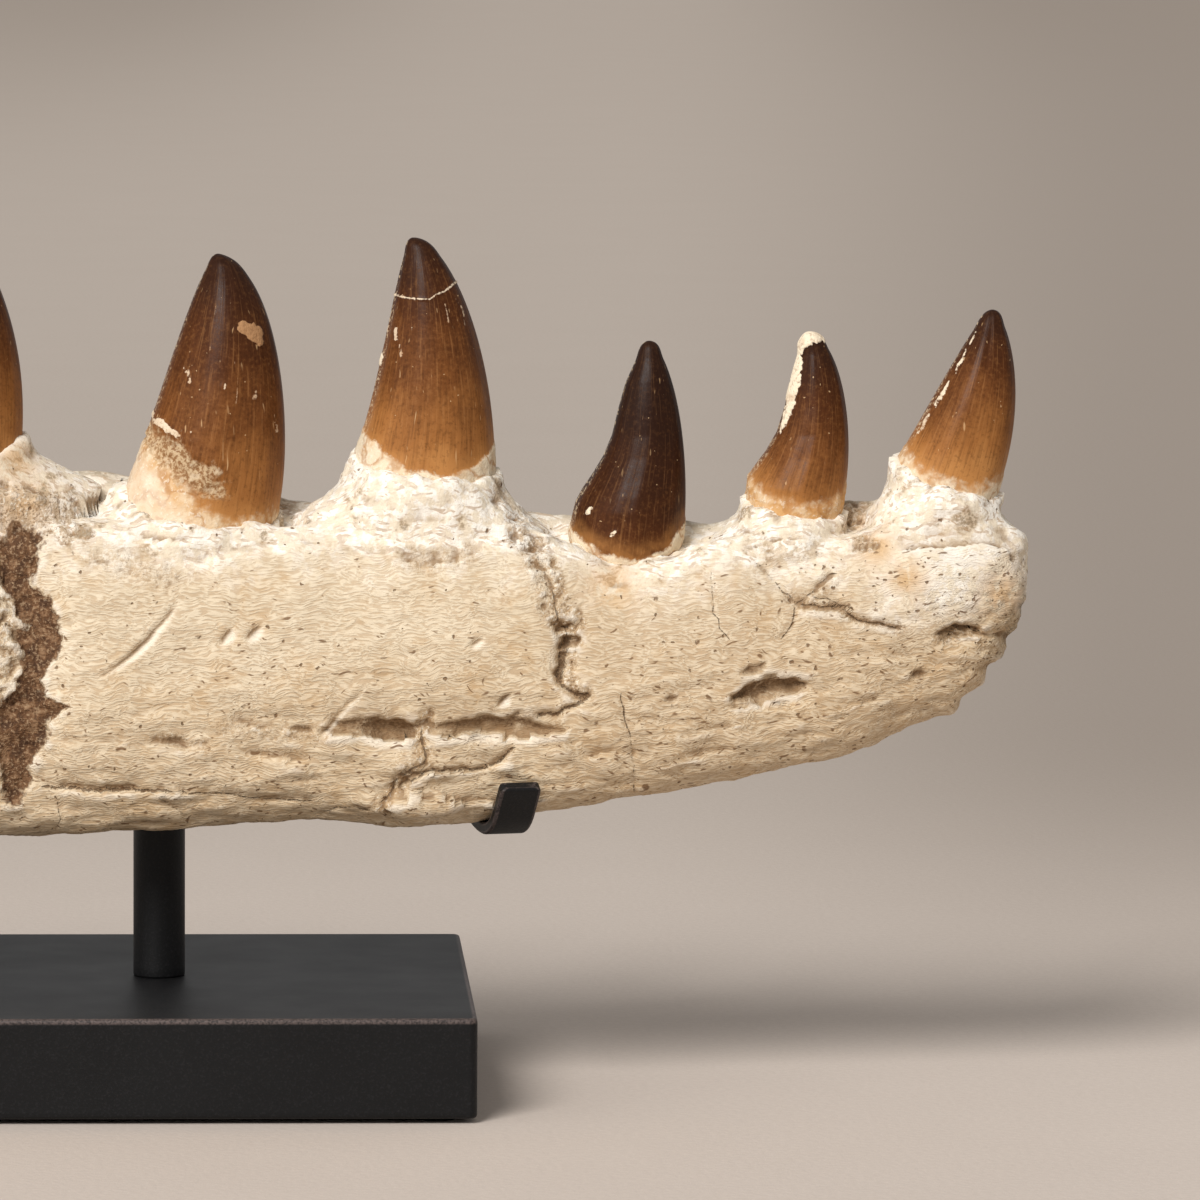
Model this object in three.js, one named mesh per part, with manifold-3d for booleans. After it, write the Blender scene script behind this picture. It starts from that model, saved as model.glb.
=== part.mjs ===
// Fossil mosasaur jaw: the front of a lower jaw with its teeth, held by a black steel display stand.
// Millimetres. +Z is up, +X points to the tip of the jaw, and -Y to the side that is on show.
// The origin is on the floor, under the middle of the base and on the post's axis.

import * as THREE from "three";
import { mergeVertices } from "three/addons/utils/BufferGeometryUtils.js";
import Module from "manifold-3d";

const wasm = await Module();
wasm.setup();

// Stand: base, feet and post
const BASE_LENGTH = 120;
const BASE_DEPTH = 120;
const BASE_THICKNESS = 19;
const BASE_CORNER_RADIUS = 1.6;
const BASE_EDGE_ROUND = 0.7;
const FOOT_DIAMETER = 9;
const FOOT_HEIGHT = 1;
const FOOT_INSET = 8;
const BASE_TOP = FOOT_HEIGHT + BASE_THICKNESS;
const POST_DIAMETER = 10;
const POST_TOP = 74;

// Stand: the bar on the post, whose ends bend back, and the two strips that lie against its ends.
// Each strip passes under the jaw and turns up in front of it.
const BAR_HEIGHT = 8;
const BAR_THICKNESS = 4;
const BAR_BEND_X = 52;
const BAR_END = 14;
const STRIP_WIDTH = 8;
const STRIP_THICKNESS = 2.3;
const STRIP_EDGE_ROUND = 0.3;
const STRIP_TURN = 15;
const STRIP_KEEL_X = 65.4;
const STRIP_FRONT_BEND_SHARE = 0.56;
const STRIP_FRONT_BEND = 52;
const STRIP_LIP = 7;
const TOUCH_GAP = 0.3;

// Jaw: its middle plane, its end, and how finely its skin is divided
const JAW_Y = -22;
const JAW_REACH = 166;
const JAW_STATION_STEP = 6;
const JAW_RING_POINTS = 24;
const REAR_BREAK_RELIEF = 5;

// Jaw outlines along X: the lower edge, the rim in front, the rim behind, and half of the thickness
const KEEL_LINE = [
  [-166, 43.1], [-100, 46.5], [-30, 49.8], [6, 51.5], [27, 52.9], [50, 52.6], [73, 55], [94, 58.1], [114, 61.5],
  [133, 66.5], [148, 72.7], [153, 74.5], [156, 78.7], [159, 83.1], [161.5, 87], [163.8, 90], [165, 95.7],
  [165.6, 99.7], [166, 102.4],
];
const FRONT_RIM_LINE = [
  [-166, 117.5], [-100, 114.5], [-19, 111.6], [25, 111], [74, 109.8], [79, 108], [84, 104.5], [90, 103.1],
  [96, 104.1], [101, 107.3], [106, 109], [120, 107], [134, 109.5], [150, 112.5], [159, 111.5], [164, 109.2],
  [166, 105],
];
const REAR_RIM_LINE = [
  [-166, 121.5], [-100, 119.5], [-19, 118.4], [27, 114.6], [76, 111.9], [104, 110], [136, 114.6], [152, 114],
  [160, 111.5], [164, 109.2], [166, 105],
];
const HALF_THICKNESS_LINE = [
  [-166, 18.4], [-60, 18], [20, 17.4], [70, 16.3], [120, 15], [146, 13.6], [156, 11.6], [162, 9], [165, 5.6],
  [166, 3],
];

// Section of the jaw, from the lower edge up the back and down the front.
// The first number is a share of half the thickness, the second a share of the height.
const SECTION_BACK = [
  [0.02, 0.022], [0.34, 0.08], [0.62, 0.18], [0.82, 0.34], [0.92, 0.54], [0.9, 0.75], [0.78, 0.92], [0.55, 1],
];
const SECTION_TOP = [
  [0.25, 0.955], [0, 0.93], [-0.28, 0.955],
];
const SECTION_FRONT = [
  [-0.58, 1], [-0.82, 0.9], [-0.96, 0.73], [-1, 0.52], [-0.95, 0.32], [-0.82, 0.15], [-0.58, 0.04], [-0.28, 0],
];

// Long groove low on the back of the jaw, which runs out towards the tip
const BACK_GROOVE = { height: 0.24, halfHeight: 0.1, depth: 4, fullUntilX: 20, goneAtX: 125 };

// Old break across the front of the jaw, filled level with dark stone below the bone's surface
const OLD_BREAK = { x: -23.5, sway: 2.2, halfWidth: 7, depth: 2.6, low: 0.14, high: 0.9 };

// Nerve openings and hollows in the front, and flakes that stand out of it.
// Each has its place on the front and its half-lengths along X, Y and Z.
const HOLLOWS = [
  { x: 117.6, z: 77.6, size: [6.5, 2.4, 2.2] },
  { x: 44.5, z: 71.6, size: [6.5, 2.2, 2] },
  { x: 64, z: 71, size: [9, 2.2, 1.8] },
  { x: 153, z: 89, size: [4, 2.2, 1.6] },
  { x: 77.4, z: 88.6, size: [2.2, 1.6, 9] },
  { x: -70, z: 76, size: [7, 2.4, 2.4] },
  { x: -118, z: 74, size: [8, 2.4, 2.6] },
];
const FLAKES = [
  { x: 46, z: 58, size: [12, 1.7, 3] },
  { x: 49, z: 65, size: [9, 1.5, 3.4] },
  { x: -90, z: 60, size: [16, 1.8, 4] },
];

// Teeth from the tip backwards, as seen from the front. Each edge starts at its foot, is pulled by two points,
// and ends at the tip. The collar is the bone that the crown stands on: its spread behind, ahead and down.
const CROWN_DEPTH_SHARE = 0.86;
const CROWN_FRONT_DIP = 14;
const CROWN_RING_POINTS = 14;
const CROWN_LEVELS = 8;
const CROWN_FOOT_DROP = 2;
const COLLAR_RINGS = 4;
const COLLAR_LIP = 0.8;
const COLLAR_DEPTH_SHARE = 0.84;
const TEETH = [
  {
    rear: [[141, 122], [146, 131], [155, 148.4]],
    front: [[160, 116], [166.5, 134.5], [162.7, 149.6]],
    tip: [158.7, 151.1],
    collar: { behind: 5, ahead: 2, down: 11 },
  },
  {
    rear: [[111.9, 115], [113.4, 124.5], [121.4, 144.6]],
    front: [[130.2, 111.5], [133.9, 127.4], [129.8, 146.2]],
    tip: [123.7, 146.6],
    collar: { behind: 6, ahead: 3, down: 8 },
  },
  {
    rear: [[78.2, 108], [81.5, 119.5], [90.4, 142.5]],
    front: [[100, 107], [102, 122.5], [97.9, 143.8]],
    tip: [93.1, 145],
    foot: 5,
  },
  {
    rear: [[37.4, 123], [43.4, 140.4], [45.5, 164]],
    front: [[64, 120], [64.3, 140.4], [56.3, 163.4]],
    tip: [48.5, 164.6],
    collar: { behind: 11, ahead: 10, down: 11 },
  },
  {
    rear: [[-7, 115], [0, 131.4], [7, 160.7]],
    front: [[22.5, 111.5], [26.4, 128.4], [22.9, 157.9]],
    tip: [11.5, 161.4],
    collar: { behind: 7, ahead: 3, down: 7 },
  },
  {
    rear: [[-53, 124.5], [-47.5, 142.5], [-45, 166.5]],
    front: [[-26.2, 126], [-24.7, 146], [-32, 165.5]],
    tip: [-41, 167.6],
    collar: { behind: 9, ahead: 14, down: 11 },
  },
  {
    rear: [[-97, 123.4], [-92, 140.4], [-90, 162]],
    front: [[-70.5, 121.4], [-70, 141.4], [-78.5, 161.5]],
    tip: [-86.5, 162.6],
    collar: { behind: 9, ahead: 9, down: 11 },
  },
  {
    rear: [[-141, 121.4], [-136.5, 137.4], [-134, 156]],
    front: [[-115, 120.4], [-114.5, 138.4], [-123, 155.6]],
    tip: [-130.5, 156.8],
    collar: { behind: 9, ahead: 9, down: 10 },
  },
];

// Materials
const BLACK_COAT = new THREE.MeshStandardMaterial({ color: 0x1d1d1d, roughness: 0.55, metalness: 0.2 });
const RUBBER = new THREE.MeshStandardMaterial({ color: 0x161616, roughness: 0.9, metalness: 0 });
const BONE = new THREE.MeshStandardMaterial({ color: 0xd9c4a0, roughness: 0.85, metalness: 0 });
const ENAMEL = new THREE.MeshStandardMaterial({ color: 0x6b3c1a, roughness: 0.3, metalness: 0 });

// A smooth curve through points that are given as [place, value]
function smoothLine(points) {
  const curve = new THREE.CubicInterpolant(
    points.map((point) => point[0]),
    points.map((point) => point[1]),
    1,
  );
  return (place) => curve.evaluate(place)[0];
}

// A closed solid from a geometry
function solidOf(geometry) {
  const bare = geometry.clone();
  bare.deleteAttribute("normal");
  bare.deleteAttribute("uv");
  const merged = mergeVertices(bare, 1e-4);
  return new wasm.Manifold(
    new wasm.Mesh({
      numProp: 3,
      vertProperties: merged.attributes.position.array,
      triVerts: new Uint32Array(merged.index.array),
    }),
  );
}

// The geometry of a solid
function geometryOf(solid) {
  const made = solid.getMesh();
  const geometry = new THREE.BufferGeometry();
  geometry.setAttribute("position", new THREE.BufferAttribute(made.vertProperties, 3));
  geometry.setIndex(new THREE.BufferAttribute(made.triVerts, 1));
  geometry.computeVertexNormals();
  return geometry;
}

// A skin over rings that turn anticlockwise about the way they run, closed at both ends by fans to a point
function loft(rings, startPoint, endPoint) {
  const count = rings[0].length;
  const points = [...rings.flat(), startPoint, endPoint];
  const start = points.length - 2;
  const end = points.length - 1;
  const faces = [];
  for (let ring = 0; ring < rings.length - 1; ring += 1) {
    for (let step = 0; step < count; step += 1) {
      const here = ring * count + step;
      const next = ring * count + ((step + 1) % count);
      faces.push(here, next, next + count, here, next + count, here + count);
    }
  }
  const last = (rings.length - 1) * count;
  for (let step = 0; step < count; step += 1) {
    const next = (step + 1) % count;
    faces.push(start, next, step);
    faces.push(end, last + step, last + next);
  }
  const geometry = new THREE.BufferGeometry().setFromPoints(points);
  geometry.setIndex(faces);
  geometry.computeVertexNormals();
  return geometry;
}

// Jaw

const keelAt = smoothLine(KEEL_LINE);
const frontRimAt = smoothLine(FRONT_RIM_LINE);
const rearRimAt = smoothLine(REAR_RIM_LINE);
const halfThicknessAt = smoothLine(HALF_THICKNESS_LINE);
const frontSideAt = smoothLine(SECTION_FRONT.map(([side, height]) => [height, side]).reverse());
const keelSide = frontSideAt(0);
const sectionCurve = new THREE.CatmullRomCurve3(
  [...SECTION_BACK, ...SECTION_TOP, ...SECTION_FRONT].map(([side, height]) => new THREE.Vector3(0, side, height)),
  true,
);

// The middle of a ring of points
function middleOf(ring) {
  return ring.reduce((sum, point) => sum.add(point), new THREE.Vector3()).divideScalar(ring.length);
}

// How far the long groove on the back goes in, in millimetres
function backGrooveDepth(x, side, height) {
  if (side < 0) return 0;
  const across = THREE.MathUtils.clamp(1 - Math.abs(height - BACK_GROOVE.height) / BACK_GROOVE.halfHeight, 0, 1);
  const along = 1 - THREE.MathUtils.smoothstep(x, BACK_GROOVE.fullUntilX, BACK_GROOVE.goneAtX);
  return BACK_GROOVE.depth * across * along;
}

// How far the old break goes in on the front, in millimetres
function oldBreakDepth(x, side, height) {
  if (side > 0 || height < OLD_BREAK.low || height > OLD_BREAK.high) return 0;
  const middle = OLD_BREAK.x + OLD_BREAK.sway * Math.sin(13 * height);
  const across = THREE.MathUtils.clamp(1.5 * (1 - Math.abs(x - middle) / OLD_BREAK.halfWidth), 0, 1);
  return OLD_BREAK.depth * across;
}

// One ring of the jaw's skin
function jawRing(x) {
  const keel = keelAt(x);
  const half = halfThicknessAt(x);
  return Array.from({ length: JAW_RING_POINTS }, (_, step) => {
    const { y: side, z: height } = sectionCurve.getPoint(step / JAW_RING_POINTS);
    const toRear = THREE.MathUtils.smoothstep(side, -0.6, 0.6);
    const rim = THREE.MathUtils.lerp(frontRimAt(x), rearRimAt(x), toRear);
    const inwards = backGrooveDepth(x, side, height) + oldBreakDepth(x, side, height);
    return new THREE.Vector3(x, JAW_Y + side * half - Math.sign(side) * inwards, keel + height * (rim - keel));
  });
}

// Places along X of the jaw's rings: even steps, then closer together round the tip
function jawStations() {
  const tipStart = 146;
  const tipShares = [0.22, 0.36, 0.5, 0.65, 0.78, 0.89, 0.95, 0.98, 1];
  const places = [];
  for (let x = -JAW_REACH; x <= tipStart; x += JAW_STATION_STEP) places.push(x);
  return [...places, ...tipShares.map((share) => THREE.MathUtils.lerp(tipStart, JAW_REACH, share))];
}

// The jaw's body. Its rear end is a ragged break that is hollowed a little.
function jawBody() {
  const rings = jawStations().map(jawRing);
  rings[0].forEach((point, step) => {
    point.x += REAR_BREAK_RELIEF * 0.5 * (1 + Math.sin(2.4 * step) * Math.cos(0.9 * step));
  });
  const rearmost = Math.min(...rings[0].map((point) => point.x));
  rings[0].forEach((point) => {
    point.x -= JAW_REACH + rearmost;
  });
  const rearMiddle = middleOf(rings[0]);
  rearMiddle.x += REAR_BREAK_RELIEF;
  return solidOf(loft(rings, rearMiddle, middleOf(rings[rings.length - 1])));
}

// An ellipsoid whose middle lies on the jaw's front
function ellipsoidOnFront({ x, z, size }) {
  const height = (z - keelAt(x)) / (frontRimAt(x) - keelAt(x));
  const ball = new THREE.SphereGeometry(1, 10, 7);
  ball.scale(...size);
  ball.translate(x, JAW_Y + frontSideAt(height) * halfThicknessAt(x), z);
  return solidOf(ball);
}

// Teeth

// The two edges of a crown as curves from the foot to the tip
function crownEdges({ rear, front, tip }) {
  const toPoint = ([x, z]) => new THREE.Vector3(x, JAW_Y, z);
  const edge = ([foot, lower, upper]) =>
    new THREE.CubicBezierCurve3(toPoint(foot), toPoint(lower), toPoint(upper), toPoint(tip));
  return { rearEdge: edge(rear), frontEdge: edge(front) };
}

// An oval ring through two points, which reaches halfDepth to both sides and dips in front
function ovalRing(rearPoint, frontPoint, halfDepth, dip) {
  const middle = rearPoint.clone().add(frontPoint).multiplyScalar(0.5);
  const reach = frontPoint.clone().sub(middle);
  const slope = Math.tan(THREE.MathUtils.degToRad(dip));
  return Array.from({ length: CROWN_RING_POINTS }, (_, step) => {
    const turn = (2 * Math.PI * step) / CROWN_RING_POINTS;
    const across = halfDepth * Math.sin(turn);
    return middle
      .clone()
      .addScaledVector(reach, Math.cos(turn))
      .add(new THREE.Vector3(0, across, across * slope));
  });
}

// Two points moved apart by the same length at both ends
function spreadApart(rearPoint, frontPoint, length) {
  const outwards = frontPoint.clone().sub(rearPoint).setLength(length);
  return [rearPoint.clone().sub(outwards), frontPoint.clone().add(outwards)];
}

// A crown, or with grow above zero the room that it needs in the jaw. Its front dips, most of all at the foot.
function crown(tooth, grow) {
  const { rearEdge, frontEdge } = crownEdges(tooth);
  const rings = Array.from({ length: CROWN_LEVELS }, (_, level) => {
    const share = 1 - (1 - level / CROWN_LEVELS) ** 1.35;
    const [rearPoint, frontPoint] = spreadApart(rearEdge.getPoint(share), frontEdge.getPoint(share), grow);
    const halfDepth = CROWN_DEPTH_SHARE * 0.5 * rearPoint.distanceTo(frontPoint) + grow;
    return ovalRing(rearPoint, frontPoint, halfDepth, CROWN_FRONT_DIP * (1 - share) ** 2);
  });
  const tip = rearEdge.getPoint(1);
  tip.z += grow;
  const foot = middleOf(rings[0]);
  foot.z -= (tooth.foot ?? CROWN_FOOT_DROP) + grow;
  return loft(rings, foot, tip);
}

// The bony collar under a crown: oval rings that spread as they go down into the jaw
function collar(tooth) {
  const { behind, ahead, down } = tooth.collar;
  const { rearEdge, frontEdge } = crownEdges(tooth);
  const [rearTop, frontTop] = spreadApart(rearEdge.getPoint(0), frontEdge.getPoint(0), COLLAR_LIP);
  const topDepth = CROWN_DEPTH_SHARE * 0.5 * rearTop.distanceTo(frontTop) + COLLAR_LIP;
  const bottomDepth = COLLAR_DEPTH_SHARE * halfThicknessAt(0.5 * (rearTop.x + frontTop.x));
  const rings = Array.from({ length: COLLAR_RINGS }, (_, ring) => {
    const share = 1 - ring / (COLLAR_RINGS - 1);
    const flare = share ** 1.5;
    const rearPoint = rearTop.clone().add(new THREE.Vector3(-behind * flare, 0, -down * share));
    const frontPoint = frontTop.clone().add(new THREE.Vector3(ahead * flare, 0, -down * share));
    const halfDepth = THREE.MathUtils.lerp(topDepth, bottomDepth, share);
    return ovalRing(rearPoint, frontPoint, halfDepth, CROWN_FRONT_DIP * (1 - share));
  });
  return solidOf(loft(rings, middleOf(rings[0]), middleOf(rings[COLLAR_RINGS - 1])));
}

// Body, collars and flakes in one, less the hollows and the room for the crowns
function jawGeometry() {
  let bone = jawBody();
  TEETH.filter((tooth) => tooth.collar).forEach((tooth) => {
    bone = bone.add(collar(tooth));
  });
  FLAKES.forEach((flake) => {
    bone = bone.add(ellipsoidOnFront(flake));
  });
  HOLLOWS.forEach((hollow) => {
    bone = bone.subtract(ellipsoidOnFront(hollow));
  });
  TEETH.forEach((tooth) => {
    bone = bone.subtract(solidOf(crown(tooth, TOUCH_GAP)));
  });
  return geometryOf(bone);
}

// Stand

// The base: a square block with round corners and edges, standing on the plane Z = 0
function baseGeometry() {
  const x = BASE_LENGTH / 2 - BASE_CORNER_RADIUS;
  const y = BASE_DEPTH / 2 - BASE_CORNER_RADIUS;
  const outline = new THREE.Shape();
  outline.absarc(x, y, BASE_CORNER_RADIUS, 0, Math.PI / 2);
  outline.absarc(-x, y, BASE_CORNER_RADIUS, Math.PI / 2, Math.PI);
  outline.absarc(-x, -y, BASE_CORNER_RADIUS, Math.PI, 1.5 * Math.PI);
  outline.absarc(x, -y, BASE_CORNER_RADIUS, 1.5 * Math.PI, 2 * Math.PI);
  outline.closePath();
  const block = new THREE.ExtrudeGeometry(outline, {
    depth: BASE_THICKNESS - 2 * BASE_EDGE_ROUND,
    bevelThickness: BASE_EDGE_ROUND,
    bevelSize: BASE_EDGE_ROUND,
    bevelOffset: -BASE_EDGE_ROUND,
    bevelSegments: 2,
    curveSegments: 3,
  });
  return block.translate(0, 0, BASE_EDGE_ROUND);
}

// An upright cylinder that stands on the plane Z = 0
function uprightCylinder(diameter, height, sides) {
  return new THREE.CylinderGeometry(diameter / 2, diameter / 2, height, sides)
    .rotateX(Math.PI / 2)
    .translate(0, 0, height / 2);
}

// The bar as seen from above, with both ends bent back by the strips' turn, standing on the plane Z = 0
function barGeometry() {
  const turn = THREE.MathUtils.degToRad(STRIP_TURN);
  const front = -BAR_THICKNESS / 2;
  const rear = BAR_THICKNESS / 2;
  const rearBendX = BAR_BEND_X - BAR_THICKNESS * Math.tan(turn / 2);
  const end = new THREE.Vector2(BAR_BEND_X + BAR_END * Math.cos(turn), front + BAR_END * Math.sin(turn));
  const rearEnd = end.clone().add(new THREE.Vector2(-Math.sin(turn), Math.cos(turn)).multiplyScalar(BAR_THICKNESS));
  const rightHalf = [new THREE.Vector2(BAR_BEND_X, front), end, rearEnd, new THREE.Vector2(rearBendX, rear)];
  const leftHalf = rightHalf.map((point) => new THREE.Vector2(-point.x, point.y)).reverse();
  const outline = new THREE.Shape([...rightHalf, ...leftHalf]);
  return new THREE.ExtrudeGeometry(outline, { depth: BAR_HEIGHT, bevelEnabled: false });
}

// A strip as seen from its side: arm behind, bend under the jaw, and lip in front.
// Its origin is where the inside is lowest, and its first axis points forwards.
function stripOutline(frontRadius, backRadius, armTop) {
  const bend = THREE.MathUtils.degToRad(STRIP_FRONT_BEND);
  const down = 1.5 * Math.PI;
  const lipEnd = (radius) =>
    new THREE.Vector2(
      radius * Math.sin(bend) + STRIP_LIP * Math.cos(bend),
      frontRadius - radius * Math.cos(bend) + STRIP_LIP * Math.sin(bend),
    );
  const lipOutside = lipEnd(frontRadius + STRIP_THICKNESS);
  const lipInside = lipEnd(frontRadius);
  const outline = new THREE.Shape();
  outline.moveTo(-backRadius - STRIP_THICKNESS, armTop);
  outline.absarc(0, backRadius, backRadius + STRIP_THICKNESS, Math.PI, down, false);
  outline.absarc(0, frontRadius, frontRadius + STRIP_THICKNESS, down, down + bend, false);
  outline.lineTo(lipOutside.x, lipOutside.y);
  outline.lineTo(lipInside.x, lipInside.y);
  outline.absarc(0, frontRadius, frontRadius, down + bend, down, true);
  outline.absarc(0, backRadius, backRadius, down, Math.PI, true);
  outline.lineTo(-backRadius, armTop);
  outline.closePath();
  return outline;
}

// The strip under the jaw on one side of the post: 1 is towards the tip, -1 towards the rear
function addStrip(group, name, side) {
  const turn = THREE.MathUtils.degToRad(side * STRIP_TURN);
  const keelX = side * STRIP_KEEL_X;
  const keelY = JAW_Y + keelSide * halfThicknessAt(keelX);
  const keelZ = Math.min(keelAt(keelX - STRIP_WIDTH / 2), keelAt(keelX + STRIP_WIDTH / 2)) - TOUCH_GAP;
  const backwards = new THREE.Vector2(-Math.sin(turn), Math.cos(turn));
  const toBar = new THREE.Vector2(side * BAR_BEND_X - keelX, -BAR_THICKNESS / 2 - keelY).dot(backwards);
  const backRadius = toBar - TOUCH_GAP - STRIP_THICKNESS;
  const frontRadius = STRIP_FRONT_BEND_SHARE * halfThicknessAt(keelX);
  const strip = new THREE.ExtrudeGeometry(stripOutline(frontRadius, backRadius, POST_TOP + BAR_HEIGHT - keelZ), {
    depth: STRIP_WIDTH - 2 * STRIP_EDGE_ROUND,
    bevelThickness: STRIP_EDGE_ROUND,
    bevelSize: STRIP_EDGE_ROUND,
    bevelOffset: -STRIP_EDGE_ROUND,
    bevelSegments: 1,
    curveSegments: 5,
  });
  strip.translate(0, 0, STRIP_EDGE_ROUND - STRIP_WIDTH / 2);
  strip.rotateX(Math.PI / 2).rotateZ(turn - Math.PI / 2);
  addPiece(group, name, strip, BLACK_COAT, keelX, keelY, keelZ);
}

// Assembly

function addPiece(group, name, geometry, material, x = 0, y = 0, z = 0) {
  const mesh = new THREE.Mesh(geometry, material);
  mesh.name = name;
  mesh.position.set(x, y, z);
  group.add(mesh);
}

const stand = new THREE.Group();
const footX = BASE_LENGTH / 2 - FOOT_INSET;
const footY = BASE_DEPTH / 2 - FOOT_INSET;
const foot = uprightCylinder(FOOT_DIAMETER, FOOT_HEIGHT, 20);
addPiece(stand, "foot_front_right", foot, RUBBER, footX, -footY);
addPiece(stand, "foot_front_left", foot, RUBBER, -footX, -footY);
addPiece(stand, "foot_rear_right", foot, RUBBER, footX, footY);
addPiece(stand, "foot_rear_left", foot, RUBBER, -footX, footY);
addPiece(stand, "base", baseGeometry(), BLACK_COAT, 0, 0, FOOT_HEIGHT);
addPiece(stand, "post", uprightCylinder(POST_DIAMETER, POST_TOP - BASE_TOP, 40), BLACK_COAT, 0, 0, BASE_TOP);
addPiece(stand, "cross_bar", barGeometry(), BLACK_COAT, 0, 0, POST_TOP);
addStrip(stand, "hook_right", 1);
addStrip(stand, "hook_left", -1);

const fossil = new THREE.Group();
addPiece(fossil, "jaw", jawGeometry(), BONE);
TEETH.forEach((tooth, number) => addPiece(fossil, `tooth_${number + 1}`, crown(tooth, 0), ENAMEL));

const jawOnStand = new THREE.Group();
jawOnStand.add(stand, fossil);

export default jawOnStand;
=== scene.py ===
import math

import bpy
import numpy as np
from mathutils import Matrix, Vector
from mathutils.bvhtree import BVHTree


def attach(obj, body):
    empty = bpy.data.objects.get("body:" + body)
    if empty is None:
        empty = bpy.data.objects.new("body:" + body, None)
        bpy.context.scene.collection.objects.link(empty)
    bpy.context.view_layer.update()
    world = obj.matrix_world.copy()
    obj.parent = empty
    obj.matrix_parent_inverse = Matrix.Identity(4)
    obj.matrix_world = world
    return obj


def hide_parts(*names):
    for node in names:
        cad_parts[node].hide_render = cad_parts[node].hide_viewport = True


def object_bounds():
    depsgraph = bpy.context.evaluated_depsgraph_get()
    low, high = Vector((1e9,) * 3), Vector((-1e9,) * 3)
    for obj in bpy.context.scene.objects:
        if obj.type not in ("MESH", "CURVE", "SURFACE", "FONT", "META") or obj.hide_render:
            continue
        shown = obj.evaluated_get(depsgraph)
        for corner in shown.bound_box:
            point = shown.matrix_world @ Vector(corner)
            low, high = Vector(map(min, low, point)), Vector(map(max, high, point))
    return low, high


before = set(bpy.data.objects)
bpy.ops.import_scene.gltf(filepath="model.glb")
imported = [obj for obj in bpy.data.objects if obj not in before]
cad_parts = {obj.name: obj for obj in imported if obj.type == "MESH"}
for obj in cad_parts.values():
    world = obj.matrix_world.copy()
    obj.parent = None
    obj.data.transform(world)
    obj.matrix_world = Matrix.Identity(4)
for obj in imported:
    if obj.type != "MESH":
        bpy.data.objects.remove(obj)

CAD_LOW, CAD_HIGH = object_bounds()

# All tables are in millimetres, in the frame of the part: X to the tip, -Y to the viewer, Z up.
MM = 0.001

# Values that the part's source has too
JAW_Y = -22.0
JAW_REACH = 166.0
FRONT_RIM_LINE = [
    (-166, 117.5), (-100, 114.5), (-19, 111.6), (25, 111), (74, 109.8), (79, 108), (84, 104.5),
    (90, 103.1),
    (96, 104.1), (101, 107.3), (106, 109), (120, 107), (134, 109.5), (150, 112.5), (159, 111.5),
    (164, 109.2),
    (166, 105),
]
KEEL_LINE = [
    (-166, 43.1), (-100, 46.5), (-30, 49.8), (6, 51.5), (27, 52.9), (50, 52.6), (73, 55), (94, 58.1),
    (114, 61.5), (133, 66.5), (148, 72.7), (153, 74.5), (156, 78.7), (159, 83.1), (161.5, 87),
    (166, 102.4),
]
CROWN_DEPTH_SHARE = 0.86
CROWN_FRONT_DIP = 14
TEETH = {
    "tooth_1": {
        "rear": [(141, 122), (146, 131), (155, 148.4)],
        "front": [(160, 116), (166.5, 134.5), (162.7, 149.6)],
        "tip": (158.7, 151.1),
    },
    "tooth_2": {
        "rear": [(111.9, 115), (113.4, 124.5), (121.4, 144.6)],
        "front": [(130.2, 111.5), (133.9, 127.4), (129.8, 146.2)],
        "tip": (123.7, 146.6),
    },
    "tooth_3": {
        "rear": [(78.2, 108), (81.5, 119.5), (90.4, 142.5)],
        "front": [(100, 107), (102, 122.5), (97.9, 143.8)],
        "tip": (93.1, 145),
    },
    "tooth_4": {
        "rear": [(37.4, 123), (43.4, 140.4), (45.5, 164)],
        "front": [(64, 120), (64.3, 140.4), (56.3, 163.4)],
        "tip": (48.5, 164.6),
    },
    "tooth_5": {
        "rear": [(-7, 115), (0, 131.4), (7, 160.7)],
        "front": [(22.5, 111.5), (26.4, 128.4), (22.9, 157.9)],
        "tip": (11.5, 161.4),
    },
    "tooth_6": {
        "rear": [(-53, 124.5), (-47.5, 142.5), (-45, 166.5)],
        "front": [(-26.2, 126), (-24.7, 146), (-32, 165.5)],
        "tip": (-41, 167.6),
    },
    "tooth_7": {
        "rear": [(-97, 123.4), (-92, 140.4), (-90, 162)],
        "front": [(-70.5, 121.4), (-70, 141.4), (-78.5, 161.5)],
        "tip": (-86.5, 162.6),
    },
    "tooth_8": {
        "rear": [(-141, 121.4), (-136.5, 137.4), (-134, 156)],
        "front": [(-115, 120.4), (-114.5, 138.4), (-123, 155.6)],
        "tip": (-130.5, 156.8),
    },
}

# Where the enamel ends on the front of a crown, from its rear edge to its front edge
ENAMEL_EDGES = {
    "tooth_1": [(140, 124.4), (141.6, 123.4), (145, 120.5), (149.9, 118.6), (155.7, 117.1), (160, 117.6)],
    "tooth_2": [(110, 119.6), (113, 117), (117, 115), (121.9, 113.6), (127, 113.8), (130, 115),
        (132, 116.6)],
    "tooth_3": [
        (76.6, 110.4), (78.7, 107.6), (81.6, 105.6), (85.4, 104.4), (90, 103.4), (95.8, 104.4),
        (99, 107.6), (101, 110),
    ],
    "tooth_4": [(36, 128), (39.1, 125.8), (43.3, 123.2), (47.8, 120.7), (54.5, 119.9), (59.5, 120.7),
        (65, 124)],
    "tooth_5": [(-6, 129.4), (-2.6, 126.3), (0.5, 122.5), (4.4, 117.9), (8.5, 114), (11.9, 111.3),
        (24, 110)],
}

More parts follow.
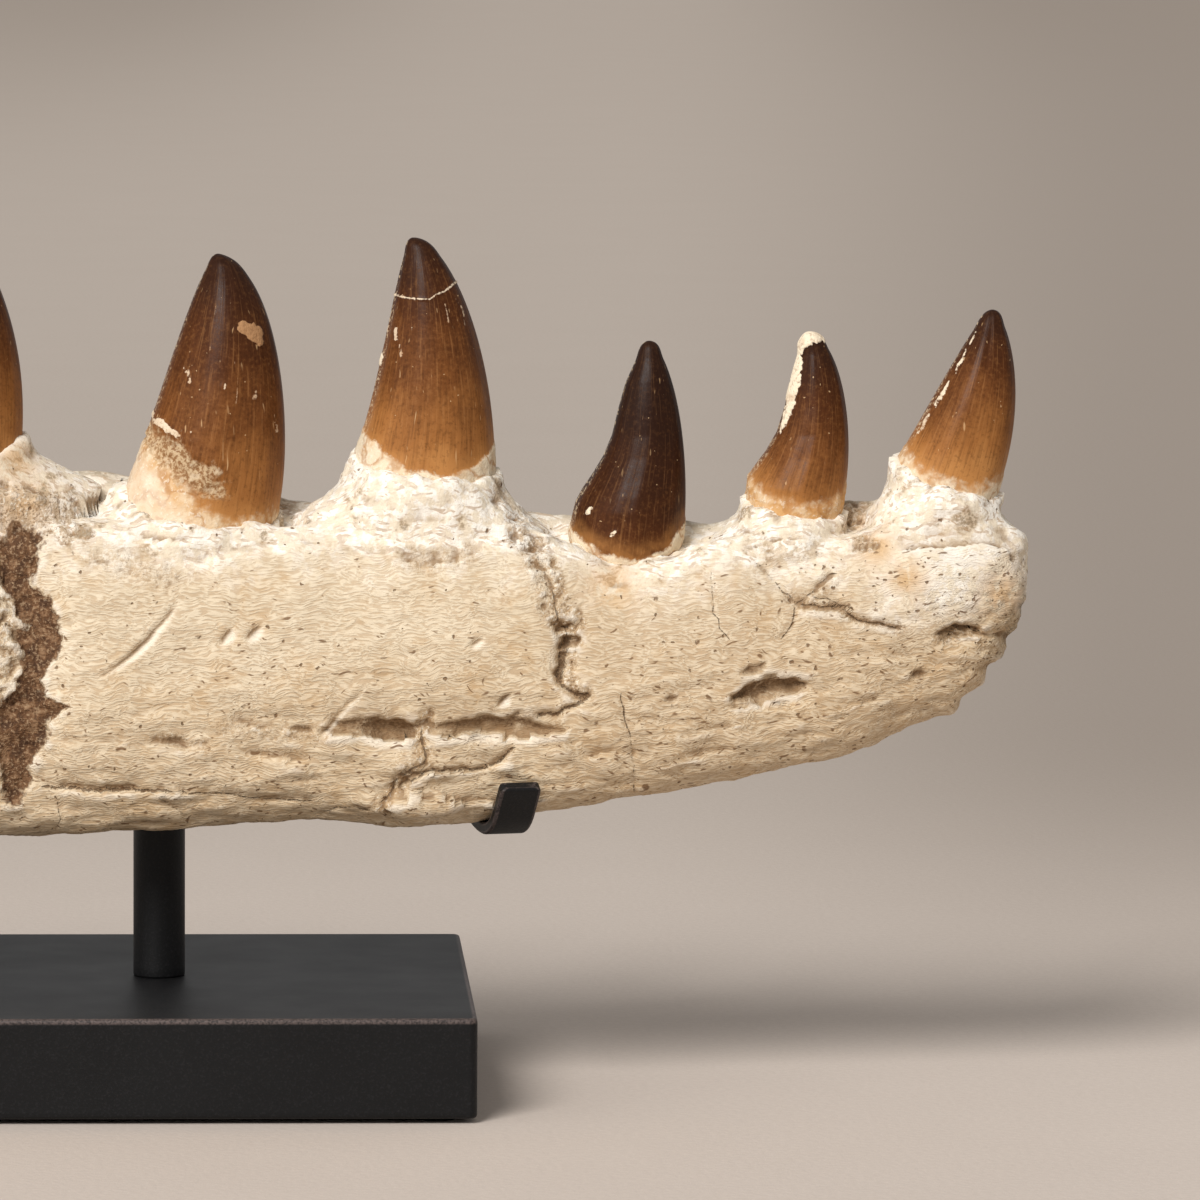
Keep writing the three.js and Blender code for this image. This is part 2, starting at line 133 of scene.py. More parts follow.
# How far the rear edge of a crown bows in from its plain curve, by height
REAR_BOWS = {
    "tooth_2": [
        (116, 0), (118.9, -0.4), (123.8, 1.6), (127.7, 2.5), (132.5, 2.3), (137.4, 1.6), (142.2, 0.8),
        (144.6, 0),
    ],
    "tooth_3": [
        (108, 0.1), (111, -0.3), (114, -0.6), (116.5, -0.2), (119.5, 0.7), (123, 1.4), (127, 1.5),
        (132, 0.7), (137, 0),
    ],
}

# How amber the root below the enamel is, from 0 for cream to 1
ROOT_WARMTH = {
    "tooth_1": 0.45, "tooth_2": 0.9, "tooth_3": 0.1, "tooth_4": 0.2, "tooth_5": 0.78, "tooth_6": 0.5,
}

# How softly the enamel fades into the root, from 0 for a sharp edge to 1
ROOT_FADES = {"tooth_1": 0.7, "tooth_2": 0.8, "tooth_5": 0.75, "tooth_6": 0.4}

# Chips and scars on the front of a crown: a line of points, half of the width at each, and how tan they are
CHIPS = {
    "tooth_1": [
        ([(155.8, 147), (154.6, 144.8)], [0.08, 0.14], 0.2),
        ([(153.8, 143.4), (152.4, 140.8), (151.6, 139.2)], [0.08, 0.22, 0.1], 0.1),
        ([(150.6, 137.4), (148.9, 134.6), (147.8, 132.8)], [0.12, 0.3, 0.16], 0.1),
        ([(147, 131.2), (145.8, 129.2), (144.8, 127.4)], [0.1, 0.24, 0.08], 0.1),
    ],
    "tooth_2": [
        ([(120.9, 141.5), (121.2, 143.5), (122, 145.6), (124.5, 146.6),
            (127.4, 145.6)], [0.9, 1.7, 2, 1.7, 0.8], 0),
        ([(121.2, 143), (121.4, 140), (121.2, 137.4), (120.2, 132.5),
            (118.4, 127.4)], [1.1, 0.9, 0.75, 0.6, 0.1], 0),
    ],
    "tooth_3": [
        ([(81.4, 112.6), (82.2, 113.6)], [0.35, 0.35], 0),
        ([(86, 108.5), (86.6, 109.2)], [0.4, 0.3], 0),
    ],
    "tooth_4": [
        ([(43.5, 154), (46.5, 153.4), (51.3, 153.3), (54, 154.6),
            (57, 156.4)], [0.34, 0.15, 0.12, 0.14, 0.24], 0.2),
        ([(43.4, 152.4), (43.2, 149), (43, 146.4)], [0.3, 0.6, 0.3], 0),
        ([(42.2, 142.5), (42, 140.5)], [0.4, 0.3], 0),
        ([(44.6, 161), (44.2, 157.5)], [0.3, 0.3], 0.2),
        ([(44.8, 147.4), (45, 145.6)], [0.25, 0.35], 0.4),
        ([(45.8, 144.6), (46, 142.4)], [0.12, 0.3], 0.5),
        ([(56.2, 153.4), (57.8, 150.4), (58.4, 147)], [0.06, 0.14, 0.05], 0.5),
        ([(47.8, 150), (48, 147.6)], [0.05, 0.14], 0.5),
        ([(54.2, 152.6), (54.8, 149)], [0.05, 0.12], 0.6),
    ],
    "tooth_5": [
        ([(16, 147.8), (17.8, 147), (19.2, 145)], [1.1, 1.6, 0.8], 1),
        ([(0.4, 129.6), (1.6, 128.6)], [0.8, 0.7], 0.2),
        ([(-1.4, 131.6), (-0.4, 129.4)], [0.35, 0.3], 0.2),
        ([(5.6, 139.6), (6, 137.4)], [0.2, 0.35], 0.5),
        ([(18.4, 136), (18, 134.6)], [0.3, 0.4], 0.7),
        ([(4.4, 141.6), (5, 139.4)], [0.08, 0.2], 0.4),
        ([(9.7, 144.4), (9.9, 142.6)], [0.06, 0.14], 0.5),
        ([(12.4, 138), (12.6, 136.4)], [0.16, 0.24], 0.3),
        ([(2.4, 128.2), (3.6, 127.2)], [0.5, 0.6], 0.3),
        ([(6.2, 128), (6.3, 126.6)], [0.2, 0.4], 0.3),
        ([(10.9, 152.4), (10.6, 150)], [0.06, 0.12], 0.6),
        ([(22.1, 131.4), (22.4, 127.6)], [0.08, 0.24], 0.6),
        ([(14.4, 142), (14.8, 137), (14.2, 131)], [0.05, 0.13, 0.05], 0.8),
    ],
}

# Lumps of old cement on a crown: a line of points and half of the width at each
CEMENT = {
    "tooth_5": (
        [(-2, 127.4), (1, 124.6), (4.4, 122), (8.6, 119), (12.4, 117)], [1.6, 2.6, 2.9, 2.6, 1.2],
    ),
}

# How much darker or lighter a whole crown is than the others
CROWN_TONES = {"tooth_3": 0.46, "tooth_1": -0.06, "tooth_2": 0.04, "tooth_6": 0.02, "tooth_8": 0.06}

# Cracks in the front of the jaw, as lines of (x, z): half of the width, depth, and the line
CRACKS = [
    (0.1, 0.5, [(70.4, 108), (73, 102), (74.3, 99.3), (74.8, 95.5), (77.1, 90)]),
    (0.4, 1.4, [(77.1, 90), (76.5, 86), (75.9, 81)]),
    (0.2, 1.0, [(75.9, 81), (79, 78.9), (82.1, 78.4)]),
    (0.2, 0.9, [(82.1, 78.4), (79.8, 77.2), (76.1, 75.6), (71.6, 74.3)]),
    (0.13, 0.5, [(51.8, 74.8), (49.7, 72.7), (50.6, 66.1), (48.1, 64), (44.8, 62.7), (44.8, 60.2),
        (42, 57.8)]),
    (0.12, 0.5, [(46.5, 60.9), (51.4, 64.4), (55.5, 64.2), (60.9, 64.4), (64.2, 65.9), (67.9, 68.9)]),
    (0.19, 0.7, [(-22.4, 60.9), (-14, 60.4), (-5.4, 60.5), (3, 60)]),
    (0.08, 0.4, [(3, 60), (11.7, 59.6), (20, 58.6), (30, 58.2)]),
    (0.07, 0.3, [(0, 58.6), (4, 56.4), (6, 53.8)]),
    (0.07, 0.3, [(87.4, 79.3), (88.4, 74), (89.8, 69.3), (90.3, 63.5), (90.4, 59)]),
    (0.06, 0.2, [(104.8, 102.1), (105.1, 96), (106.1, 91.2), (108.2, 89.3)]),
    (0.07, 0.3, [(113.8, 103.6), (116.7, 100.7), (120.5, 96.4)]),
    (0.07, 0.3, [(120.5, 95.5), (120.1, 92.2), (118.2, 89.3)]),
    (0.07, 0.6, [(120.5, 96), (124, 98.2), (127.1, 100.7), (129, 101.7)]),
    (0.07, 0.6, [(121.5, 96), (129.1, 95.2), (133.9, 92.6), (141.5, 91.2)]),
    (0.05, 0.4, [(124, 97.4), (128, 96.4), (132, 94.8)]),
    (0.13, 0.6, [(155.3, 90.1), (158.6, 89.4), (161.6, 89.2)]),
    (0.09, 0.4, [(30, 54.6), (33.4, 56.8), (40, 56.4)]),
    (0.06, 0.3, [(-19.4, 58), (-18.4, 55), (-20, 52)]),
    (0.26, 0.9, [(-70, 108), (-66, 96), (-69, 84), (-63, 73), (-66, 61)]),
    (0.08, 0.4, [(-112, 106), (-108, 94), (-111, 82), (-106, 66)]),
    (0.18, 0.8, [(-146, 70), (-132, 72), (-120, 69.6), (-104, 71.4)]),
]

# Crumbled bone along a line: half of the width, how rough it is, and the line
RUBBLE = [
    (3.4, 1.1, [(69.6, 109), (72.4, 103), (74.8, 98), (77.6, 91.6)]),
    (1.8, 1.1, [(77.8, 90.4), (77.4, 86), (77, 81.4), (80.4, 79)]),
    (1.6, 1.0, [(51, 75), (50, 70.6), (50.4, 66.4), (47, 63)]),
    (1.7, 1.1, [(47, 62.6), (45, 60.6), (42.6, 57.6)]),
    (1.4, 0.7, [(119.6, 97), (124, 97.2), (128, 100)]),
    (1.2, 0.6, [(122, 95.6), (129, 95), (134, 92.6), (141, 91)]),
    (3.2, 1.3, [(130.4, 113.1), (132.8, 110.3), (133.7, 108.4)]),
    (2.4, 0.8, [(65, 117), (69, 111), (71, 108)]),
    (4.4, 1.0, [(-33, 116), (-26, 113), (-17, 112)]),
    (4.0, 1.3, [(-32, 106), (-29.4, 96), (-30, 86), (-32, 74)]),
    (1.2, 0.6, [(147.6, 89), (152, 89.6), (157, 89.8)]),
    (2.4, 0.5, [(47, 104.6), (52, 103.4), (58, 105)]),
    (2.6, 0.5, [(-11, 104.8), (-5, 103.4), (2, 101)]),
    (1.8, 0.5, [(112, 108), (118, 106), (125, 106)]),
    (1.4, 0.6, [(0, 70.6), (8, 69.2)]),
    (1.6, 0.6, [(12, 73), (22, 71.6), (32, 71)]),
]

# Cuts and scratches: width of the wall at the lower right, pale bone and painted highlight, depth, and the
# steep wall's line
CUTS = [
    (1.5, 0.9, [(-11.4, 82), (-8, 84.5), (-5.2, 86.6), (-1.6, 90.2), (1.2, 93.4), (4, 97.4)]),
    (2.0, 0.8, [(11.2, 88.1), (12.8, 90.2), (14, 92.1)]),
    (2.1, 0.8, [(16, 89.2), (17.9, 91), (19.7, 92.7)]),
    (1.0, 0.5, [(28.6, 67.8), (31.5, 72), (35.3, 76.7), (40.2, 81.6)]),
    (1.8, 0.9, [(63.6, 76.2), (65.2, 77.8), (66.6, 79.3)]),
    (1.5, 0.7, [(58.4, 87.6), (60, 89), (61.4, 90)]),
    (1.6, 0.7, [(-94, 80), (-88, 86)]),
]

# Hollows with a rough floor that gets dirt and painted shade: half of the height, depth, and the line
HOLLOWS = [
    (2.1, 1.9, [(109.6, 77.6), (112.6, 78.8), (116, 79.4), (122.4, 80.3)]),
    (1.7, 1.0, [(33.6, 72.8), (38.6, 72.8), (42.7, 72.2), (46.9, 71.8), (50.8, 73.4)]),
    (1.4, 1.0, [(52, 72.4), (58, 72.5), (63.3, 72.9), (68.7, 72.7), (74.4, 71.8)]),
    (1.3, 1.5, [(148.6, 89.9), (151.9, 90.8), (155.8, 90.6)]),
    (1.0, 1.1, [(111.1, 82.6), (114.9, 84.5)]),
    (0.9, 1.0, [(143, 81.7), (146.3, 82.4)]),
    (0.8, 0.8, [(0.5, 70), (5, 68.6)]),
    (0.7, 0.7, [(26, 72.4), (29, 72)]),
    (0.6, 0.6, [(67.4, 74.6), (68.8, 75.4)]),
    (0.7, 0.8, [(96, 77.6), (98.4, 78.2)]),
    (0.6, 0.7, [(128, 74), (130, 74.6)]),
    (1.3, 1.5, [(-75, 76), (-70, 76.6), (-65, 77)]),
    (1.4, 1.6, [(-124, 74), (-118, 74.4), (-112, 75)]),
]

# Ledges: how far the bone below the line stands out, over what length it runs level again, how deep the
# bone above dips towards the line, over what length, and the line
LEDGES = [
    (1.2, 5, 0.3, 2, [(41.6, 56), (44, 57.6), (48.1, 58.8), (51.9, 58.5), (61.3, 58.2), (66, 58.4),
        (76, 59.6)]),
    (0.9, 4, 0.5, 1.6, [(44.6, 60), (46.5, 60.9), (51.4, 64), (55.5, 63.9), (60.9, 64.1), (64.2, 65.6),
        (68, 68.6)]),
    (1.0, 6, 1.5, 4.5, [(49.6, 70.4), (51.4, 71.2), (55.5, 70.6), (61.3, 71.2), (67.9, 70.4),
        (73.7, 71), (79, 72)]),
    (0.9, 6, 1.5, 4.5, [(30.6, 71.8), (34, 71.4), (37.8, 71.2), (41.9, 70.1), (46.9, 70.1),
        (49.6, 71.4)]),
    (0.6, 5, 0.9, 3, [(107.6, 75.6), (112, 76.4), (116, 77.6), (123.4, 79)]),
    (0.5, 4, 0.8, 2.5, [(147, 88.2), (151, 89), (157, 89.4)]),
    (0.3, 6, 0.4, 1.2, [(-22, 60.6), (-8, 60.2), (10, 59.4)]),
    (0.8, 5, 0.6, 3, [(139, 105.6), (144, 106.2), (150, 106.7), (156, 107), (161, 106), (163.4, 102)]),
    (0.5, 3, 0.5, 2.4, [(44, 104.4), (50, 102.8), (57, 104), (62, 106.6)]),
    (0.4, 2, 0.4, 1.4, [(38, 113), (46, 111.6), (55, 112), (63, 110)]),
    (0.4, 2, 0.4, 1.4, [(-9, 109.4), (0, 107.8), (12, 108.6), (20, 110.6)]),
    (0.4, 2, 0.4, 1.4, [(108, 110), (116, 107.8), (125, 108)]),
    (0.5, 6, 0.3, 2, [(121, 95.2), (129, 94.4), (134, 92.2), (143, 90.4)]),
    (0.4, 4, 0.3, 2, [(12, 67.6), (20, 66.8), (30, 66)]),
    (0.4, 4, 0.3, 2, [(94, 70.4), (104, 71.6), (112, 73.4)]),
    (0.4, 3, 0.4, 2, [(-12, 70), (-4, 69.2), (6, 69.4)]),
    (0.45, 3, 0.4, 2, [(12, 74), (20, 72.4), (30, 71.4)]),
    (0.4, 3, 0.4, 2, [(92, 64), (100, 66), (110, 68)]),
    (0.4, 3, 0.4, 2, [(124, 74), (132, 76.4), (140, 79)]),
    (0.4, 3, 0.4, 2, [(80, 66.4), (87, 67.4), (95, 66.6)]),
    (0.8, 7, 0.4, 2, [(-100, 62), (-88, 61), (-74, 62)]),
    (-0.4, 7, 0, 2, [(-16, 107.2), (-4, 106.6), (4, 104.2), (10, 106), (24, 108)]),
    (-0.35, 7, 0, 2, [(24, 108), (36, 107.6), (48, 105.6), (58, 107.4)]),
    (-0.35, 7, 0, 2, [(80, 103.6), (88, 100), (98, 102), (106, 105)]),
]

# Lumps and dents of the outline near the tip: place, radius and height
TIP_LUMPS = [
    (164.8, 107.4, 2.6, 0.9), (161.6, 88.8, 1.3, -1.3), (161, 85, 2, 0.8), (157.4, 80, 2, 0.9),
    (159.6, 82.4, 1, -0.5), (151.6, 73.6, 1.9, 0.8), (154.4, 76.4, 1.2, -0.7), (164.4, 99, 3, 0.5),
    (164.6, 103, 1.4, -0.4),
]

# Rises of the rear rim between the crowns: place, half of the length and height
RIM_RISES = [(-11, 9, 2.4)]

# Right and left edges of the dark stone that fills the old break
STONE_RIGHT_EDGE = [
    (57, -27), (62.5, -24.3), (66, -23.8), (71, -20.5), (74.4, -20.2), (76.7, -17.1), (78.6, -21),
    (81.5, -22.4), (85, -20), (89.1, -17.7), (92.9, -18.6), (96, -19.6), (99.6, -24), (104, -22.6),
    (108.1, -21.4), (111, -24),
]
STONE_LEFT_EDGE = [
    (57, -28.6), (62, -29.4), (68, -31.6), (74, -32.6), (78, -29.4), (80, -27), (84, -26.2), (92, -25.6),
    (97, -27.4), (101, -31), (106, -32), (111, -27),
]

# Stains: place and radius
STAINS = [
    (160.4, 97.4, 5), (142, 101, 4), (136.6, 106.6, 4), (-27, 113, 5), (133, 110, 4), (86, 100, 5),
    (-25.8, 114.3, 6), (-26.9, 122.6, 5),
]


# Noise

CHANCE = np.random.default_rng(1108)
SHUFFLE = CHANCE.permutation(256)
SLOPES = CHANCE.normal(size=(256, 3))
SLOPES /= np.linalg.norm(SLOPES, axis=1)[:, None]
NOISE_GAIN = 1.6
LAYER_SHIFT = 17.3
# A jagged line wanders over this length, and its two directions differ by where they read the noise
WANDER_LENGTH = 2.1
WANDER_SLICE = 3.7
WANDER_SHIFT = 41.5


def noise(points):
    """Smooth noise from about -1 to 1, with lumps about one unit wide."""
    points = np.asarray(points, float)
    cell = np.floor(points).astype(int)
    part = points - cell
    ease = part ** 3 * (part * (part * 6 - 15) + 10)
    total = np.zeros(len(points))
    for corner in np.ndindex(2, 2, 2):
        index = SHUFFLE[(cell[:, 0] + corner[0]) & 255]
        index = SHUFFLE[(index + cell[:, 1] + corner[1]) & 255]
        index = SHUFFLE[(index + cell[:, 2] + corner[2]) & 255]
        reach = ((part - corner) * SLOPES[index]).sum(axis=1)
        weight = np.where(corner, ease, 1 - ease).prod(axis=1)
        total += reach * weight
    return NOISE_GAIN * total


def rough_noise(points, layers):
    """Noise in layers, each half as wide and half as strong as the one before."""
    points = np.asarray(points, float)
    total = np.zeros(len(points))
    for layer in range(layers):
        total += noise(points * 2 ** layer + LAYER_SHIFT * layer) / 2 ** layer
    return total


def step_up(values, low, high):
    """0 below low, 1 above high, and a smooth rise between."""
    share = np.clip((np.asarray(values, float) - low) / (high - low), 0, 1)
    return share * share * (3 - 2 * share)


def line_at(line, places):
    """A line of (place, value) read at some places."""
    return np.interp(places, [point[0] for point in line], [point[1] for point in line])


def jagged(line, sway, step=1.4):
    """A line of points divided into short stretches that wander to both sides."""
    line = np.array(line, float)
    lengths = np.linalg.norm(np.diff(line, axis=0), axis=1)
    run = np.concatenate([[0], np.cumsum(lengths)])
    places = np.linspace(0, run[-1], max(2, int(run[-1] / step) + 1))
    points = np.stack([np.interp(places, run, line[:, 0]), np.interp(places, run, line[:, 1])], axis=1)
    seeds = np.column_stack([points / WANDER_LENGTH, np.full(len(points), WANDER_SLICE)])
    points[:, 0] += sway * noise(seeds)
    points[:, 1] += sway * noise(seeds + WANDER_SHIFT)
    return points


def nearest_on_line(flat, line):
    """For flat points: the distance to a line, the nearest point on it, its share, and the side.

    The side is 1 to the left of the line and -1 to the right.
    """
    best = np.full(len(flat), 1e9)
    place = np.zeros_like(flat)
    share = np.zeros(len(flat))
    side = np.ones(len(flat))
    count = len(line) - 1
    for index in range(count):
        start = line[index]
        along = line[index + 1] - start
        part = np.clip(((flat - start) @ along) / (along @ along), 0, 1)
        foot = start + part[:, None] * along
        gap = flat - foot
        far = np.hypot(gap[:, 0], gap[:, 1])
        closer = far < best
        best[closer] = far[closer]
        place[closer] = foot[closer]
        share[closer] = (index + part[closer]) / count
        turn = along[0] * (flat[:, 1] - start[1]) - along[1] * (flat[:, 0] - start[0])
        side[closer] = np.sign(turn[closer])
    return best, place, share, side


# Meshes

def add_piece(name, points, faces, material, node):
    """A smooth mesh from points in millimetres, which stands for a node of the frame."""
    mesh = bpy.data.meshes.new(name)
    mesh.from_pydata((np.asarray(points, float) * MM).tolist(), [], faces)
    mesh.shade_smooth()
    mesh.materials.append(material)
    piece = bpy.data.objects.new(name, mesh)
    bpy.context.scene.collection.objects.link(piece)
    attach(piece, "root")
    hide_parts(node)
    return piece


def keep_values(piece, name, values):
    """A value, or a vector, at each point of a mesh, for its material."""
    values = np.asarray(values, float)
    if values.ndim == 2:
        layer = piece.data.attributes.new(name, "FLOAT_VECTOR", "POINT")
        layer.data.foreach_set("vector", values.astype(np.float32).ravel())
    else:
        layer = piece.data.attributes.new(name, "FLOAT", "POINT")
        layer.data.foreach_set("value", values.astype(np.float32))


def ring_faces(rings, count, first=0):
    """Faces between rings of points that follow each other."""
    faces = []
    for ring in range(rings - 1):
        here = first + ring * count
        for step in range(count):
            after = (step + 1) % count
            faces.append((here + step, here + after, here + count + after, here + count + step))
    return faces


def grid_normals(grid):
    """Outward normals of a grid of points whose second direction closes on itself."""
    along = np.gradient(grid, axis=0)
    around = np.roll(grid, -1, axis=1) - np.roll(grid, 1, axis=1)
    normals = np.cross(along, around)
    return normals / np.maximum(np.linalg.norm(normals, axis=2), 1e-9)[:, :, None]


# Crowns of the teeth

CROWN_LEVELS = 150
CROWN_STEPS = 88
# Levels lie closer together towards the tip
LEVEL_CROWDING = 1.35
ROOT_SHARE = 0.07
ROOT_TAPER = 1.4
TIP_ROUND = 1.5
TIP_ROUND_REACH = 4
EDGE_KEENNESS = 1.1
BARE_FOOT = 4.6
# What counts as the front of a crown, and a reach that is well outside a patch on it
FRONT_LIMIT = 0.35
OUTSIDE = -5.0
# Heights of a crown's relief
SIDE_SWELL = 0.28
FLUTES = 0.07
ENAMEL_STEP = 0.18
ROOT_LUMPS = 0.22
CHIP_DEPTH = 0.25
CEMENT_HEIGHT = 0.25
CEMENT_LUMPS = 0.6
# Crowns and jaw stay this far inside the part's box
TOP_GAP = 0.02
SAFE_GAP = 0.05


def edge_curve(feet, tip, shares):
    """A crown's edge from its foot to its tip."""
    foot, lower, upper = [np.array(point, float) for point in feet]
    tip = np.array(tip, float)
    up = shares[:, None]
    down = 1 - up
    return down ** 3 * foot + 3 * down ** 2 * up * lower + 3 * down * up ** 2 * upper + up ** 3 * tip


def crown_grid(tooth, bow):
    """A crown's points by level and step, the share of its height, the turn, and how high its front is."""
    ramp = np.linspace(0, 1, CROWN_LEVELS)[:-1]
    shares = (1 + ROOT_SHARE) * (1 - (1 - ramp) ** LEVEL_CROWDING) - ROOT_SHARE
    rear = edge_curve(tooth["rear"], tooth["tip"], shares)
    front = edge_curve(tooth["front"], tooth["tip"], shares)
    rear[:, 0] += line_at(bow, rear[:, 1])
    middle = (rear + front) / 2
    reach = (front - rear) / 2 * (1 + ROOT_TAPER * np.minimum(shares, 0))[:, None]
    below_tip = np.maximum(tooth["tip"][1] - middle[:, 1], 0)
    half_width = np.linalg.norm(reach, axis=1)
    near_tip = np.clip(1 - below_tip / TIP_ROUND_REACH, 0, 1)
    blunt = np.sqrt(half_width ** 2 + 2 * TIP_ROUND * below_tip * near_tip ** 2)
    reach *= (blunt / np.maximum(half_width, 1e-6))[:, None]
    half_depth = CROWN_DEPTH_SHARE * np.linalg.norm(reach, axis=1)
    slope = np.tan(np.radians(CROWN_FRONT_DIP * np.clip(1 - shares, 0, 1) ** 2))
    turn = np.linspace(0, 2 * np.pi, CROWN_STEPS, endpoint=False)
    keen = np.sign(np.sin(turn)) * np.abs(np.sin(turn)) ** EDGE_KEENNESS
    across = half_depth[:, None] * keen[None, :]
    rise = across * slope[:, None]
    grid = np.empty((len(shares), CROWN_STEPS, 3))
    grid[:, :, 0] = middle[:, :1] + reach[:, :1] * np.cos(turn)
    grid[:, :, 1] = JAW_Y + across
    grid[:, :, 2] = middle[:, 1:] + reach[:, 1:] * np.cos(turn) + rise
    front_height = grid[:, :, 2] - (across + half_depth[:, None]) * slope[:, None]
    return grid, shares, turn, front_height


def enamel_reach(name, points, front_height):
    """How far above the lower edge of the enamel each point is."""
    edge = ENAMEL_EDGES.get(name)
    if edge:
        lowest = line_at(edge, points[:, 0])
    else:
        feet = [TEETH[name]["rear"][0], TEETH[name]["front"][0]]
        lowest = line_at(feet, points[:, 0]) - BARE_FOOT
    wander = 0.7 * rough_noise(points / 3.2, 3)
    return front_height.ravel() - lowest + wander


def patch_reach(points, front, line, widths, wander):
    """How far inside a patch along a line each point of a crown's front is."""
    far, _, share, _ = nearest_on_line(points[:, [0, 2]], line)
    width = np.interp(share, np.linspace(0, 1, len(widths)), widths)
    return np.where(front, width * (1 + wander) - far, OUTSIDE)


def chip_reach(name, points, front):
    """How far inside a chip each point is, and how tan that chip is."""
    inside = np.full(len(points), OUTSIDE)
    tan = np.zeros(len(points))
    wander = 0.35 * rough_noise(points / 1.1, 2)
    for line, widths, shade in CHIPS.get(name, []):
        here = patch_reach(points, front, jagged(line, 0.3, 0.7), widths, wander)
        tan[here > inside] = shade
        inside = np.maximum(inside, here)
    return inside, tan


def cement_reach(name, points, front):
    """How far inside the old cement each point is."""
    if name not in CEMENT:
        return np.full(len(points), OUTSIDE)
    line, widths = CEMENT[name]
    return patch_reach(points, front, np.array(line, float), widths, 0.6 * rough_noise(points / 2.4, 2))


def make_crown(name, material):
    """A crown. Its points by level and step and its faces are given back, for the bone that hugs it."""
    tooth = TEETH[name]
    grid, shares, turn, front_height = crown_grid(tooth, REAR_BOWS.get(name, [(0, 0)]))
    levels = len(shares)
    points = grid.reshape(-1, 3)
    front = np.tile(np.sin(turn) < FRONT_LIMIT, levels)
    enamel = enamel_reach(name, points, front_height)
    chip, tan = chip_reach(name, points, front)
    cement = cement_reach(name, points, front)
    up = np.repeat(shares, CROWN_STEPS)
    around = np.stack([np.tile(np.cos(turn), levels), np.tile(np.sin(turn), levels)], axis=1)

    swells = np.column_stack([around * 2.6, up * 1.6]) + len(name) + points[:1]
    flutes = np.column_stack([around * 9, up * 2.2])
    taper = np.clip(1 - up, 0, 1) ** 0.5
    lift = SIDE_SWELL * taper * noise(swells) + FLUTES * taper * noise(flutes)
    lift += ENAMEL_STEP * (step_up(enamel, -0.35, 0.45) - 1)
    lift += step_up(-enamel, 0.2, 1.5) * ROOT_LUMPS * rough_noise(points / 2.2, 2)
    lift -= CHIP_DEPTH * step_up(chip, -0.1, 0.3)
    lift += step_up(cement, -0.2, 0.8) * (CEMENT_HEIGHT + CEMENT_LUMPS * rough_noise(points / 1.9, 2))
    points = points + grid_normals(grid).reshape(-1, 3) * lift[:, None]
    points[:, 2] = np.minimum(points[:, 2], CAD_HIGH[2] * 1000 - TOP_GAP)

    points = np.vstack([points, [tooth["tip"][0], JAW_Y, tooth["tip"][1]]])
    faces = ring_faces(levels, CROWN_STEPS)
    last = (levels - 1) * CROWN_STEPS
    for step in range(CROWN_STEPS):
        faces.append((last + step, last + (step + 1) % CROWN_STEPS, len(points) - 1))
    faces.append(tuple(reversed(range(CROWN_STEPS))))
    piece = add_piece("crown_" + name[-1], points, faces, material, name)
    height = (points[:-1, 2] - points[:, 2].min()) / 10
    kept = {
        "up": np.append(up + CROWN_TONES.get(name, 0), 1.0),
        "around": np.vstack([np.column_stack([around, height]), [0, 0, height.max()]]),
        "enamel_edge": np.append(enamel, 9.0),
        "chip_edge": np.append(chip, chip[-CROWN_STEPS:].max()),
        "chip_tan": np.append(tan, tan[-CROWN_STEPS:].max()),
        "cement_edge": np.append(cement, OUTSIDE),
        "root_warm": np.full(len(points), ROOT_WARMTH.get(name, 0.4)),
        "root_fade": np.full(len(points), ROOT_FADES.get(name, 0.1)),
    }
    for title, values in kept.items():
        keep_values(piece, title, values)
    return points[:-1].reshape(levels, CROWN_STEPS, 3), faces


# Bone of the jaw

# Rays from a line of middles find the jaw's skin. They lie closer together where the front shows.
CAP_START = 148.0
FINE_FROM = -39.0
COARSE_STEP = 1.5
FINE_STEP = 0.62
REAR_TILTS = np.radians(np.linspace(87, 3, 24))
FRONT_TILTS = np.radians(np.linspace(2, 88.5, 44))
AXIS_HEIGHTS = [(-150, 81), (60, 82), (110, 86), (150, 96)]
# Stretches of the turn from straight down and round by the front, in degrees, and the rays in each
TURN_STRETCHES = [(10, 150, 112), (150, 186, 38), (186, 212, 14), (212, 350, 38), (350, 370, 9)]
RAY_LENGTH = 95.0
CROWN_REACH = 12.0

# How the skin is evened out: the shortest gap that counts, the sharpest bend and the share of each round
SHORTEST_GAP = 0.3
SHARPEST_BEND = 4
EVENING_SHARE = 0.04
SKIN_ROUNDS = 46
CAVITY_ROUNDS = 24
CAVITY_DEPTH = 0.55

# Relief of plain bone: height, size of its lumps along X, Y and Z, and how many finer layers they have
SWELLS = [(0.7, (31, 31, 31), 1), (0.4, (12, 12, 12), 1), (0.2, (11, 3.4, 3.4), 3)]
CRUST_DEPTH = 4.2
CRUST_LUMPS = 0.34
CRUST_FILL = 0.2
CRUST_CREASES = 0.32
CRUST_SHELVES = 0.28
SHELF_SIZE = np.array([9, 4, 1.6])
PLATE_LEVELS = 3
PLATE_SIZE = np.array([9, 5, 2.8])
PLATES_ON_CRUST = 0.12
PLATES_ON_BONE = 0.14
KEEL_ROUGHNESS = 0.2
KEEL_LUMP_SIZE = np.array([5, 1.8, 1.8])
STONE_ENDS = (57.5, 110.5)
STONE_DEPTH = 0.9
FAR_FROM_CRACK = 9.0
OUTSIDE_STONE = -6.0
JAW_HEIGHT = 60


